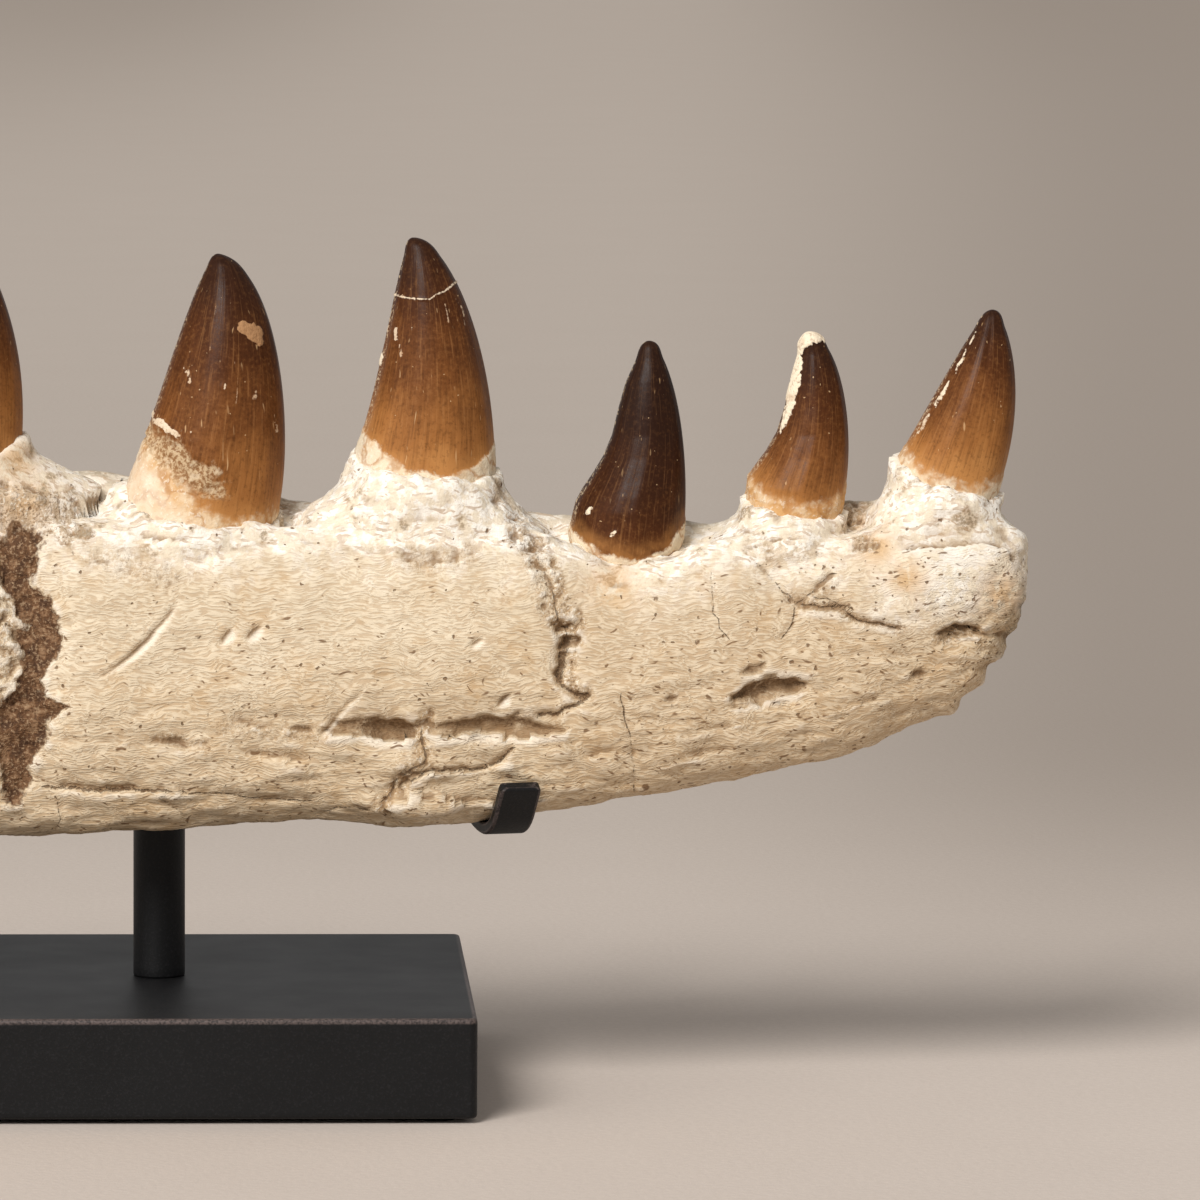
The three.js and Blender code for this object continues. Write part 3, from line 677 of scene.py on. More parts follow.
def jaw_rays():
    """Middles and directions of the rays: columns along X, steps round the jaw."""
    coarse = np.arange(-CAP_START, FINE_FROM, COARSE_STEP)
    fine = np.linspace(FINE_FROM, CAP_START, int((CAP_START - FINE_FROM) / FINE_STEP))
    rear = np.full(len(REAR_TILTS), -CAP_START)
    front = np.full(len(FRONT_TILTS), CAP_START)
    places = np.concatenate([rear, coarse, fine, front])
    tilts = np.concatenate([-REAR_TILTS, np.zeros(len(coarse) + len(fine)), FRONT_TILTS])
    turns = np.concatenate([np.linspace(a, b, n, endpoint=False) for a, b, n in TURN_STRETCHES])
    turns = np.radians(turns)
    middles = np.stack([places, np.full(len(places), JAW_Y), line_at(AXIS_HEIGHTS, places)], axis=1)
    ways = np.empty((len(places), len(turns), 3))
    ways[:, :, 0] = np.sin(tilts)[:, None]
    ways[:, :, 1] = -np.cos(tilts)[:, None] * np.sin(turns)
    ways[:, :, 2] = -np.cos(tilts)[:, None] * np.cos(turns)
    return middles, ways


def node_tree(name):
    """The search tree of a node of the frame, in millimetres."""
    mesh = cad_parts[name].data
    points = [tuple(vertex.co / MM) for vertex in mesh.vertices]
    return BVHTree.FromPolygons(points, [tuple(face.vertices) for face in mesh.polygons])


def jaw_radii(middles, ways):
    """How far the node's skin is from the middle along each ray."""
    skin = node_tree("jaw")
    radii = np.full(ways.shape[:2], np.nan)
    for column in range(len(middles)):
        middle = Vector(middles[column])
        for step in range(ways.shape[1]):
            way = Vector(ways[column, step])
            hit = skin.ray_cast(middle + way * RAY_LENGTH, -way, RAY_LENGTH)
            if hit[0] is not None:
                radii[column, step] = RAY_LENGTH - hit[3]
    for row in radii:
        good = ~np.isnan(row)
        row[~good] = np.interp(np.flatnonzero(~good), np.flatnonzero(good), row[good])
    return radii


def soften(values, grid, strength, rounds):
    """Evens out values on the jaw's grid, over about the same length in both directions."""
    next_gap = np.linalg.norm(np.diff(grid, axis=0), axis=2)
    next_gap = np.maximum(np.vstack([next_gap, next_gap[-1:]]), SHORTEST_GAP)
    last_gap = np.vstack([next_gap[:1], next_gap[:-1]])
    side_gap = np.maximum(np.linalg.norm(np.roll(grid, -1, axis=1) - grid, axis=2), SHORTEST_GAP)
    back_gap = np.roll(side_gap, 1, axis=1)

    def bend(after, before, after_gap, before_gap):
        turn = 2 * ((after - values) / after_gap - (values - before) / before_gap) / (after_gap + before_gap)
        return np.clip(turn, -SHARPEST_BEND, SHARPEST_BEND)

    values = values.copy()
    for _ in range(rounds):
        ahead = np.vstack([values[1:], values[-1:]])
        behind = np.vstack([values[:1], values[:-1]])
        left = np.roll(values, -1, axis=1)
        right = np.roll(values, 1, axis=1)
        both = bend(ahead, behind, next_gap, last_gap) + bend(left, right, side_gap, back_gap)
        values += EVENING_SHARE * strength * both
    return values


def crown_distance(points, crowns):
    """How far each point is from the nearest crown, up to a limit."""
    far = np.full(len(points), CROWN_REACH)
    for grid, faces in crowns:
        skin = grid.reshape(-1, 3)
        low = skin.min(axis=0) - 10
        high = skin.max(axis=0) + 10
        close = np.flatnonzero(((points > low) & (points < high)).all(axis=1))
        sides = [face for face in faces if max(face) < len(skin)]
        tree = BVHTree.FromPolygons([tuple(point) for point in skin], sides)
        for index in close:
            found = tree.find_nearest(Vector(points[index]), CROWN_REACH)
            if found[3] is not None:
                far[index] = min(far[index], found[3])
    return far


def stone_reach(flat, points):
    """How far inside the dark stone of the old break each point is."""
    wander = 1.1 * rough_noise(points / 3.1, 3)
    right = line_at(STONE_RIGHT_EDGE, flat[:, 1]) - flat[:, 0]
    left = flat[:, 0] - line_at(STONE_LEFT_EDGE, flat[:, 1])
    ends = np.minimum(flat[:, 1] - STONE_ENDS[0], STONE_ENDS[1] - flat[:, 1])
    return np.minimum(np.minimum(right, left), ends) + wander


def crust_share(flat, points, crown_far):
    """1 on the rough pale crust along the rim and round the crowns, 0 on the plain bone."""
    rim = line_at(FRONT_RIM_LINE, flat[:, 0])
    height = flat[:, 1] - rim + CRUST_DEPTH + 2.6 * rough_noise(points / 9, 3)
    near = step_up(-crown_far, -9, -2.5)
    return np.clip(np.maximum(step_up(height, -1.2, 1.2), near), 0, 1)


def pale_share(flat, points):
    """How chalky the bone is: at the upper part of the tip, and towards the rim."""
    tip_height = flat[:, 1] - 93 + 3 * rough_noise(points / 8, 2)
    at_tip = 0.9 * step_up(flat[:, 0], 131, 141) * step_up(tip_height, -3, 4)
    rim_height = flat[:, 1] - line_at(FRONT_RIM_LINE, flat[:, 0]) + 4 * rough_noise(points / 9 + 7, 3)
    return np.maximum(at_tip, 0.62 * step_up(rim_height, -13, -2))


def bone_relief(points, flat, normals, crust, low_share):
    """How far the bone and its crust stand out, before anything is cut into them."""
    lift = sum(height * rough_noise(points / np.array(size), finer) for height, size, finer in SWELLS)
    crusty = crust * (0.35 + 0.65 * step_up(flat[:, 0], -18, -6))
    creases = CRUST_CREASES * np.abs(noise(points / 2.8))
    lift += crusty * (CRUST_LUMPS * rough_noise(points / 7, 2) + CRUST_FILL - creases)
    lift += crusty * CRUST_SHELVES * noise(points / SHELF_SIZE)
    levels = PLATE_LEVELS * rough_noise(points / PLATE_SIZE, 2)
    plates = np.floor(levels) + step_up(levels - np.floor(levels), 0.72, 1)
    flaky = 0.35 + 0.65 * step_up(0.55 - low_share, 0, 0.3)
    lift += (PLATES_ON_CRUST * crusty + PLATES_ON_BONE * (1 - crust) * flaky) * plates
    for x, z, radius, height in TIP_LUMPS:
        lift += height * np.exp(-((flat[:, 0] - x) ** 2 + (flat[:, 1] - z) ** 2) / radius ** 2)
    lift += step_up(0.34 - low_share, 0, 0.2) * KEEL_ROUGHNESS * rough_noise(points / KEEL_LUMP_SIZE, 2)
    rear_rim = step_up(normals[:, 2], 0.25, 0.75) * step_up(points[:, 1], JAW_Y - 8, JAW_Y + 2)
    for x, reach, height in RIM_RISES:
        lift += rear_rim * height * np.exp(-((flat[:, 0] - x) / reach) ** 2)
    return lift


def carve_cracks(lift, points, flat, facing):
    """Cuts the cracks: how far each point is from the nearest one, where that is, and how wide it is."""
    crack_far = np.full(len(points), FAR_FROM_CRACK)
    crack_near = points.copy()
    crack_size = np.zeros(len(points))
    for width, depth, line in CRACKS:
        far, place, share, _ = nearest_on_line(flat, jagged(line, 0.7))
        far = np.where(facing > 0.05, far, FAR_FROM_CRACK)
        ends = step_up(share, 0, 0.06) * step_up(1 - share, 0, 0.06)
        ragged = 1 + 0.7 * noise(points / 1.7)
        lift -= facing * ends * depth * ragged * np.exp(-(far / (width + 0.45)) ** 2)
        lift += facing * ends * 0.4 * depth * np.exp(-((far - 1.6) / 1.0) ** 2) * noise(points / 3.1 + 9)
        closer = far < crack_far
        crack_far[closer] = far[closer]
        crack_near[closer, 0] = place[closer, 0]
        crack_near[closer, 2] = place[closer, 1]
        crack_size[closer] = (width * ends)[closer]
    return crack_far, crack_near, crack_size


def crumble(lift, points, flat, facing):
    """Roughens the crumbled bone, and says where it is."""
    rubble = np.zeros(len(points))
    for width, rough, line in RUBBLE:
        far, _, _, _ = nearest_on_line(flat, jagged(line, 0.8))
        inside = facing * step_up(width * (1 + 0.5 * noise(points / 2.9)) - far, -0.6, 0.8)
        lift += inside * rough * (0.75 * noise(points / 2.2) - 1.1 * np.abs(noise(points / 1.5 + 3)))
        rubble = np.maximum(rubble, inside * min(rough, 1.0))
    return rubble


def make_cuts(lift, flat, facing):
    """Cuts the scratches, and says where their lower right walls are: pale fresh bone with a painted
    highlight.
    """
    scraped = np.zeros(len(flat))
    for width, depth, line in CUTS:
        far, _, share, side = nearest_on_line(flat, jagged(line, 0.35))
        swell = np.sin(np.pi * np.clip(share, 0.02, 0.98)) ** 0.6
        inner = (share > 0.001) & (share < 0.999)
        cut = np.clip(1 - far / (swell * np.where(side > 0, 0.6, width)), 0, 1)
        lift -= facing * depth * swell * cut
        wall = inner * (side < 0) * swell * step_up(width * swell - far, -0.3, 0.3) * step_up(far, 0.2, 0.8)
        scraped = np.maximum(scraped, facing * wall)
    return scraped


def sink_hollows(lift, points, flat, facing):
    """Sinks the hollows, and says where their floors are, which get dirt and painted shade."""
    hollow = np.zeros(len(points))
    for width, depth, line in HOLLOWS:
        far, _, share, side = nearest_on_line(flat, jagged(line, 0.5))
        swell = np.sin(np.pi * np.clip(share, 0.03, 0.97)) ** 0.5
        edge = width * swell * (1 + 0.5 * noise(points / 2))
        inside = step_up(edge * np.where(side > 0, 1.15, 0.8) - far, -0.7, 1.1)
        lift -= facing * depth * inside * (1 + 0.3 * noise(points / 1.4))
        hollow = np.maximum(hollow, facing * inside)
    return hollow


def raise_ledges(lift, points, flat, facing):
    """Raises the ledges, and says how deep in their painted shade each point is."""
    shade = np.zeros(len(points))
    for height, fade, dip, dip_fade, line in LEDGES:
        far, _, share, side = nearest_on_line(flat, jagged(line, 0.45))
        ends = step_up(share, 0, 0.14) * step_up(1 - share, 0, 0.14)
        uneven = 0.75 + 0.45 * noise(points / 5)
        below = np.where(side < 0, np.exp(-far / fade), 0.0)
        above = np.where(side > 0, np.exp(-far / dip_fade), 0.0)
        lift += facing * ends * uneven * (height * below - dip * above)
        shade = np.maximum(shade, facing * ends * above * np.clip(dip, 0, 1))
    return shade


def stain_share(flat, facing):
    stain = np.zeros(len(flat))
    for x, z, radius in STAINS:
        gap = np.hypot(flat[:, 0] - x, flat[:, 1] - z) / radius
        stain = np.maximum(stain, facing * np.exp(-gap ** 2))
    return stain


def closed_jaw(points, shape):
    """The jaw's points with one more at each end, and its faces."""
    columns, count = shape
    rings = points.reshape(columns, count, 3)
    points = np.vstack([points, rings[0].mean(axis=0), rings[-1].mean(axis=0)])
    faces = [(a, d, c, b) for a, b, c, d in ring_faces(columns, count)]
    last = (columns - 1) * count
    for step in range(count):
        after = (step + 1) % count
        faces.append((after, len(points) - 2, step))
        faces.append((last + step, len(points) - 1, last + after))
    return points, faces


def make_jaw(material, crowns):
    middles, ways = jaw_rays()
    radii = jaw_radii(middles, ways)
    shape = radii.shape
    grid = middles[:, None, :] + ways * radii[:, :, None]
    crown_far = crown_distance(grid.reshape(-1, 3), crowns)
    firm = 0.18 + 0.82 * step_up(crown_far, 1.5, 7).reshape(shape)
    radii = soften(radii, grid, firm, SKIN_ROUNDS)
    grid = middles[:, None, :] + ways * radii[:, :, None]
    normals = grid_normals(grid).reshape(-1, 3)
    points = grid.reshape(-1, 3)
    flat = points[:, [0, 2]]
    facing = step_up(-normals[:, 1], 0.1, 0.45)

    crust = crust_share(flat, points, crown_far)
    low_share = (flat[:, 1] - line_at(KEEL_LINE, flat[:, 0])) / JAW_HEIGHT
    stone = np.where(normals[:, 1] < -0.2, stone_reach(flat, points), OUTSIDE_STONE)
    broken = step_up(-points[:, 0], 158, 163)
    lift = bone_relief(points, flat, normals, crust, low_share)
    crack_far, crack_near, crack_size = carve_cracks(lift, points, flat, facing)
    rubble = crumble(lift, points, flat, facing)
    scraped = make_cuts(lift, flat, facing)
    hollow = sink_hollows(lift, points, flat, facing)
    shade = raise_ledges(lift, points, flat, facing)

    # The stone lies deeper, its rim is uneven, the bone rises to the crowns, and the rear end is rough
    lift -= step_up(stone, -0.2, 0.9) * (STONE_DEPTH + 0.55 * rough_noise(points / 2.6, 3))
    lift += facing * np.exp(-((stone + 1.4) / 1.2) ** 2) * 0.5 * noise(points / 2.4 + 5)
    lift += np.exp(-(crown_far / 1.5) ** 2) * (0.65 + 0.9 * rough_noise(points / 3.4, 2))
    lift += broken * 0.9 * rough_noise(points / 4.5, 3)

    # Less relief where the skin lies along the rays, because the grid is coarse there
    square_on = np.abs((normals * ways.reshape(-1, 3)).sum(axis=1))
    lift *= 0.2 + 0.8 * step_up(square_on, 0.15, 0.5)
    even = soften(lift.reshape(shape), grid, np.ones(shape), CAVITY_ROUNDS).ravel()
    # The cavity gives the bone's colour dirt and painted shade in recesses and a painted highlight on ridges
    kept = {
        "crack_far": (crack_far, FAR_FROM_CRACK), "crack_size": (crack_size, 0), "hollow": (hollow, 0),
        "crust": (crust, 0), "stone_edge": (stone, OUTSIDE_STONE), "stain": (stain_share(flat, facing), 0),
        "cavity": (np.clip((even - lift) / CAVITY_DEPTH, -1, 1), 0), "low_share": (low_share, 0.6),
        "broken": (broken, 0), "rubble": (rubble, 0), "scraped": (scraped, 0),
        "pale_bone": (pale_share(flat, points), 0.8), "shade": (shade, 0),
        "behind": (step_up(points[:, 1], JAW_Y + 3, JAW_Y + 10), 0),
    }
    points = points + normals * lift[:, None]
    points[:, 0] = np.clip(points[:, 0], -JAW_REACH + SAFE_GAP, JAW_REACH - SAFE_GAP)
    crack_near[:, 1] = points[:, 1]
    quiet = crack_far > FAR_FROM_CRACK - 1
    crack_near[quiet] = points[quiet] + FAR_FROM_CRACK

    points, faces = closed_jaw(points, shape)
    piece = add_piece("jaw_bone", points, faces, material, "jaw")
    for name, (values, end) in kept.items():
        keep_values(piece, name, np.concatenate([values, [end, end]]))
    keep_values(piece, "crack_near", np.vstack([crack_near, points[-2:] + FAR_FROM_CRACK]))


# Stand

def turned_rings(profile, steps, middle):
    """A body turned about an upright axis, from points of (radius, height), closed at both ends."""
    turns = np.linspace(0, 2 * np.pi, steps, endpoint=False)
    rings = [
        np.column_stack([
            middle[0] + radius * np.cos(turns),
            middle[1] + radius * np.sin(turns),
            np.full(steps, float(height)),
        ])
        for radius, height in profile
    ]
    return closed_rings(rings)


def closed_rings(rings):
    """Points and faces of rings that follow each other, with a face at each end."""
    steps = len(rings[0])
    faces = ring_faces(len(rings), steps)
    last = (len(rings) - 1) * steps
    faces.append(tuple(reversed(range(steps))))
    faces.append(tuple(range(last, last + steps)))
    return np.vstack(rings), faces


def quarter(radius, count):
    """How far in and how far along a rounded edge goes, from its start to its end."""
    turns = np.linspace(0, np.pi / 2, count)
    return [(radius * (1 - np.sin(turn)), radius * (1 - np.cos(turn))) for turn in turns]


BASE_HALF = 60.0
BASE_CORNER = 1.6
BASE_ROUND = 0.7
FOOT_TOP = 1.0
BASE_TOP = 20.0
POST_RADIUS = 5.0
POST_TOP = 74.0
POST_FOOT = [(0.35, 0), (0.08, 0.12), (0, 0.4)]
POST_HEAD = [(0, 0.4), (0.1, 0.1), (0.4, 0)]
POST_STEPS = 72
FOOT_PROFILE = [(3.9, 0), (4.3, 0.1), (4.5, 0.35), (4.5, 0.8), (4.45, 1)]
FOOT_STEPS = 40
FOOT_PLACE = 52
BAR_TOP = 82.0
BAR_HEIGHT = 8
BAR_THICKNESS = 4
BAR_ROUND = 0.7
BAR_BEND_X = 52
BAR_BEND_RADIUS = 8.0
BAR_TURN = 15
BAR_END = 14
BAR_STRAIGHT = 36


def base_ring(inset, height):
    """The base's outline, moved inwards, at one height."""
    radius = max(BASE_CORNER - inset, 0.05)
    points = []
    for corner in range(4):
        turns = np.radians(90 * corner) + np.linspace(0, np.pi / 2, 9)
        sign_x = 1 if corner in (0, 3) else -1
        sign_y = 1 if corner in (0, 1) else -1
        centre = BASE_HALF - BASE_CORNER - max(inset - BASE_CORNER, 0)
        for turn in turns:
            x = sign_x * centre + radius * np.cos(turn)
            y = sign_y * centre + radius * np.sin(turn)
            points.append((x, y, height))
    return np.array(points)


def make_base(material):
    """The base from its underside up. Each level has its inset, its height and how much edge wear and
    painted highlight it gets.
    """
    edge = quarter(BASE_ROUND, 5)
    levels = [(3.5, FOOT_TOP, 0), (1.2, FOOT_TOP, 0.3)]
    levels += [(inset, FOOT_TOP + rise, 0.4) for inset, rise in edge]
    levels += [(0, FOOT_TOP + 1.4, 0.3), (0, FOOT_TOP + 3, 0)]
    levels += [(0, BASE_TOP - 3, 0), (0, BASE_TOP - 1.4, 0.3)]
    levels += [(inset, BASE_TOP - rise, 1) for inset, rise in edge[::-1]]
    levels += [(1.2, BASE_TOP, 0.3), (3.5, BASE_TOP, 0)]
    rings = [base_ring(inset, height) for inset, height, _ in levels]
    points, faces = closed_rings(rings)
    piece = add_piece("stand_base", points, faces, material, "base")
    keep_values(piece, "edge", np.repeat([worn for _, _, worn in levels], len(rings[0])))


def make_post(material):
    profile = [(POST_RADIUS - inset, BASE_TOP + rise) for inset, rise in POST_FOOT]
    profile += [(POST_RADIUS, height) for height in np.linspace(BASE_TOP + 2, POST_TOP - 2, 14)]
    profile += [(POST_RADIUS - inset, POST_TOP - drop) for inset, drop in POST_HEAD]
    points, faces = turned_rings(profile, POST_STEPS, (0, 0))
    piece = add_piece("stand_post", points, faces, material, "post")
    keep_values(piece, "edge", np.zeros(len(points)))


def make_foot(name, x, y, material):
    points, faces = turned_rings(FOOT_PROFILE, FOOT_STEPS, (x, y))
    piece = add_piece("rubber_" + name, points, faces, material, name)
    keep_values(piece, "edge", np.zeros(len(points)))


def rounded_section(thickness, width, radius):
    """A flat bar's section as (across, along the width, how far it is an edge), anticlockwise."""
    points = []
    for corner in range(4):
        turns = np.radians(90 * corner) + np.linspace(0, np.pi / 2, 5)
        sign_a = 1 if corner in (0, 3) else -1
        sign_b = 1 if corner in (0, 1) else -1
        arc_points = [
            (
                sign_a * (thickness / 2 - radius) + radius * np.cos(turn),
                sign_b * (width / 2 - radius) + radius * np.sin(turn),
                1.0,
            )
            for turn in turns
        ]
        first = arc_points[0]
        last = arc_points[-1]
        step = 0.3
        before = (first[0] + step * np.sin(turns[0]), first[1] - step * np.cos(turns[0]), 0.0)
        after = (last[0] - step * np.sin(turns[-1]), last[1] + step * np.cos(turns[-1]), 0.0)
        points += [before] + arc_points + [after]
    return np.array(points)


def bent_bar(path, place, thickness, width, radius, corner):
    """A flat bar along a path in a plane. place turns (u, v, w) into a point, w being across the plane."""
    path = np.array(path, float)
    ways = np.gradient(path, axis=0)
    ways /= np.linalg.norm(ways, axis=1)[:, None]
    across = np.column_stack([-ways[:, 1], ways[:, 0]])
    run = np.concatenate([[0], np.cumsum(np.linalg.norm(np.diff(path, axis=0), axis=1))])
    rings = []
    edges = []
    for index, point in enumerate(path):
        to_end = min(run[index], run[-1] - run[index])
        thin = radius - math.sqrt(max(radius ** 2 - max(radius - to_end, 0) ** 2, 0))
        narrow = corner - math.sqrt(max(corner ** 2 - max(corner - to_end, 0) ** 2, 0))
        edge_round = radius * 0.55 if thin else radius
        section = rounded_section(thickness - 1.9 * thin, width - 2 * narrow, edge_round)
        flat = point + section[:, :1] * across[index]
        rings.append(np.array([place(u, v, w) for (u, v), w in zip(flat, section[:, 1])]))
        edges.append(section[:, 2])
    points, faces = closed_rings(rings)
    return points, faces, np.concatenate(edges)


def close_ends(path, radius):
    """Extra points near both ends of a path, so that its ends can be rounded."""
    path = np.array(path, float)
    ease = radius * (1 - np.cos(np.linspace(0, np.pi / 2, 6)))
    first = path[1] - path[0]
    last = path[-2] - path[-1]
    head = [path[0] + first / np.linalg.norm(first) * step for step in ease]
    tail = [path[-1] + last / np.linalg.norm(last) * step for step in ease[::-1]]
    return np.vstack([head, path[1:-1], tail])


def arc(middle, radius, start, end, count):
    """Points of an arc between two turns in degrees."""
    turns = np.radians(np.linspace(start, end, count))
    return [(middle[0] + radius * math.cos(turn), middle[1] + radius * math.sin(turn)) for turn in turns]


def make_bar(material):
    """The bar behind the jaw, whose ends bend back."""
    turn = math.radians(BAR_TURN)
    bend_length = BAR_BEND_RADIUS * math.tan(math.radians(BAR_TURN / 2))
    bend = arc((BAR_BEND_X - bend_length, BAR_BEND_RADIUS), BAR_BEND_RADIUS, 270, 270 + BAR_TURN, 7)
    length = BAR_END - bend_length
    end = (bend[-1][0] + length * math.cos(turn), bend[-1][1] + length * math.sin(turn))
    half = bend + [end]
    middle = [(x, 0.0) for x in np.linspace(-BAR_STRAIGHT, BAR_STRAIGHT, 13)]
    path = close_ends([(-x, y) for x, y in reversed(half)] + middle + half, BAR_ROUND)
    height = (POST_TOP + BAR_TOP) / 2

    def place(u, v, w):
        return u, v, height + w

    points, faces, edges = bent_bar(path, place, BAR_THICKNESS, BAR_HEIGHT, BAR_ROUND, BAR_ROUND)
    piece = add_piece("stand_bar", points, faces, material, "cross_bar")
    keep_values(piece, "edge", edges * 0.7)


# Strips: the middle of the part under the jaw, the turn about the post, and the radii in front and behind
STRIPS = {
    "hook_right": {"keel": (65.4, -26.6, 53.26), "turn": 15, "front": 9.2, "back": 24.63},
    "hook_left": {"keel": (-65.4, -27.05, 47.66), "turn": -15, "front": 10.1, "back": 25.06},
}
STRIP_THICKNESS = 2.3
STRIP_WIDTH = 8.0
STRIP_BEND = 52
STRIP_LIP = 7.0
STRIP_ROUND = 0.55
STRIP_CORNER = 1.1


def make_strip(name, material):
    """A strip that hangs from the bar behind the jaw, passes under it and turns up in front."""
    strip = STRIPS[name]
    keel = np.array(strip["keel"])
    turn = math.radians(strip["turn"])
    ahead = np.array([math.sin(turn), -math.cos(turn), 0])
    aside = np.array([math.cos(turn), math.sin(turn), 0])
    half = STRIP_THICKNESS / 2
    back = strip["back"]
    front = strip["front"]
    arm_top = BAR_TOP - keel[2]
    arm = [(-back - half, height) for height in np.linspace(arm_top, back + 0.5, 10)]
    under = arc((0, back), back + half, 180, 270, 24)
    rise = arc((0, front), front + half, 270, 270 + STRIP_BEND, 16)[1:]
    bend = math.radians(STRIP_BEND)
    lip = [
        (rise[-1][0] + step * math.cos(bend), rise[-1][1] + step * math.sin(bend))
        for step in np.linspace(0, STRIP_LIP, 7)[1:]
    ]
    path = close_ends(arm + under + rise + lip, STRIP_CORNER)

    def place(u, v, w):
        return keel + ahead * u + aside * w + np.array([0, 0, v])

    points, faces, edges = bent_bar(path, place, STRIP_THICKNESS, STRIP_WIDTH, STRIP_ROUND, STRIP_CORNER)
    faces = [tuple(reversed(face)) for face in faces]
    piece = add_piece("stand_" + name, points, faces, material, name)
    keep_values(piece, "edge", edges * 0.8)


# Colours as they look on a screen, from 0 to 255

def tone(red, green, blue):
    def light(value):
        value /= 255
        return value / 12.92 if value <= 0.04045 else ((value + 0.055) / 1.055) ** 2.4
    return (light(red), light(green), light(blue), 1.0)


SHADES = {name: tone(*values) for name, values in {
    # Plain bone, and what lies on it
    "cream bone": (219, 203, 177), "buff bone": (206, 185, 154), "greyer bone": (198, 178, 150),
    "painted low shade": (208, 180, 142), "tan spot": (198, 162, 116), "light grain": (232, 218, 194),
    "fibre line": (162, 124, 82), "fibre ridge": (243, 230, 206), "rust stain": (202, 160, 104),
    "shelf line": (170, 134, 94), "painted ledge shade": (150, 120, 86), "fresh wall and painted highlight": (248, 240, 224),
    "pit": (114, 82, 52), "crack": (98, 72, 48),
    # Crust, rim and rubble
    "chalk": (234, 221, 199), "white chalk": (248, 242, 231), "crust dirt": (146, 126, 100),
    "old rim": (128, 112, 90), "pale rim": (212, 196, 168),
    "brown rubble": (160, 127, 90), "rubble gap": (112, 84, 58), "rubble flake": (246, 238, 222),
    "dirt and painted shade in recesses": (134, 104, 73), "painted ridge highlight": (248, 242, 230),
    "hollow dirt and painted shade": (114, 88, 62), "spongy break": (128, 98, 68),
    # Stone in the old break
    "dark stone": (78, 53, 35), "brown stone": (114, 81, 54), "tan stone": (156, 124, 94),
    "stone grain": (172, 144, 114), "stone gap": (62, 44, 32),
    # Enamel
    "dark streak": (44, 24, 13), "light streak": (176, 126, 78), "light speck": (160, 110, 62),
    "scratch": (198, 160, 116), "nick": (206, 172, 130), "edge fleck": (222, 198, 162),
    "amber": (186, 130, 74),
    # Root, chips and cement
    "cream root": (229, 212, 184), "warm root": (206, 160, 106), "root vein": (176, 124, 74),
    "root grain": (240, 230, 212), "root foot": (240, 232, 216),
    "pale chip": (238, 222, 196), "tan chip": (172, 130, 92), "chip grain": (136, 98, 66),
    "painted cement crevice shade": (140, 104, 70), "grey cement": (208, 184, 148), "painted cement highlight": (226, 208, 178),
    # Stand
    "black coat": (12, 12, 13), "worn black": (15, 15, 16), "coat grain": (30, 29, 31),
    "edge wear and painted highlight": (112, 98, 94), "coat dust": (110, 104, 102),
    "black rubber": (18, 18, 18), "rubber grain": (32, 31, 31), "rubber dust": (96, 90, 86),
    # Floor
    "lit floor": (207, 195, 185), "painted far shade": (182, 171, 161), "painted side shade": (130, 119, 110),
    "painted far dimming": (148, 137, 127), "floor grain": (150, 138, 128), "floor cloud": (160, 148, 138),
}.items()}

# The enamel's colour by the share of a crown's height
CROWN_RAMP = [
    (0.0, (178, 124, 71)), (0.12, (154, 101, 54)), (0.3, (112, 68, 35)), (0.5, (80, 45, 23)),
        (0.72, (57, 32, 19)),
    (1.0, (42, 25, 18)),
]


# Shader nodes

def feed(tree, made, inputs):
    """Sets each input of a node to a number or a colour, or links it to the output of another node."""
    for name, value in inputs.items():
        if isinstance(value, bpy.types.NodeSocket):
            tree.links.new(value, made.inputs[name])
        else:
            made.inputs[name].default_value = value


def add_node(tree, kind, inputs=None, **settings):
    """A shader node with its settings and inputs."""
    made = tree.nodes.new("ShaderNode" + kind)
    for name, value in settings.items():
        setattr(made, name, value)
    feed(tree, made, inputs or {})
    return made


def calc(tree, way, first, second=0.0, clamp=False):
    made = add_node(tree, "Math", {0: first, 1: second}, operation=way, use_clamp=clamp)
    return made.outputs[0]


def times(tree, first, *others):
    for other in others:
        first = calc(tree, "MULTIPLY", first, other)
    return first


def plus(tree, first, second, clamp=False):
    return calc(tree, "ADD", first, second, clamp)


def minus(tree, first, second):
    return calc(tree, "SUBTRACT", first, second)


def larger(tree, first, second):
    return calc(tree, "MAXIMUM", first, second)


def between(tree, value, low, high, start=0.0, end=1.0):
    """start where the value is below low, end where it is above high, and a smooth change between."""
    made = add_node(
        tree, "MapRange",
        {"Value": value, "From Min": low, "From Max": high, "To Min": start, "To Max": end},
        interpolation_type="SMOOTHSTEP",
    )
    return made.outputs["Result"]


def blend(tree, share, first, second):
    """Two colours, each a name of SHADES or a socket, the second over the first by its share."""
    made = add_node(tree, "Mix", data_type="RGBA", blend_type="MIX", clamp_factor=True)
    under, over = [SHADES[colour] if isinstance(colour, str) else colour for colour in (first, second)]
    feed(tree, made, {0: share, 6: under, 7: over})
    return made.outputs[2]


def painted(tree, colour, layers):
    """A colour with layers over it, each given as its share and its colour."""
    for share, shade in layers:
        colour = blend(tree, share, colour, shade)
    return colour


def point_value(tree, name, output="Fac"):
    """What keep_values kept at each point of the mesh."""
    return add_node(tree, "Attribute", attribute_name=name).outputs[output]


def vectors(tree, way, first, second):
    return add_node(tree, "VectorMath", {0: first, 1: second}, operation=way).outputs[0]


def scaled(tree, vector, factor):
    return add_node(tree, "VectorMath", {0: vector, "Scale": factor}, operation="SCALE").outputs[0]


def gap_to(tree, where, place):
    return add_node(tree, "VectorMath", {0: where, 1: place}, operation="DISTANCE").outputs["Value"]


def in_mm(tree):
    """Where a point of the surface is, in millimetres."""
    return scaled(tree, add_node(tree, "TexCoord").outputs["Object"], 1 / MM)


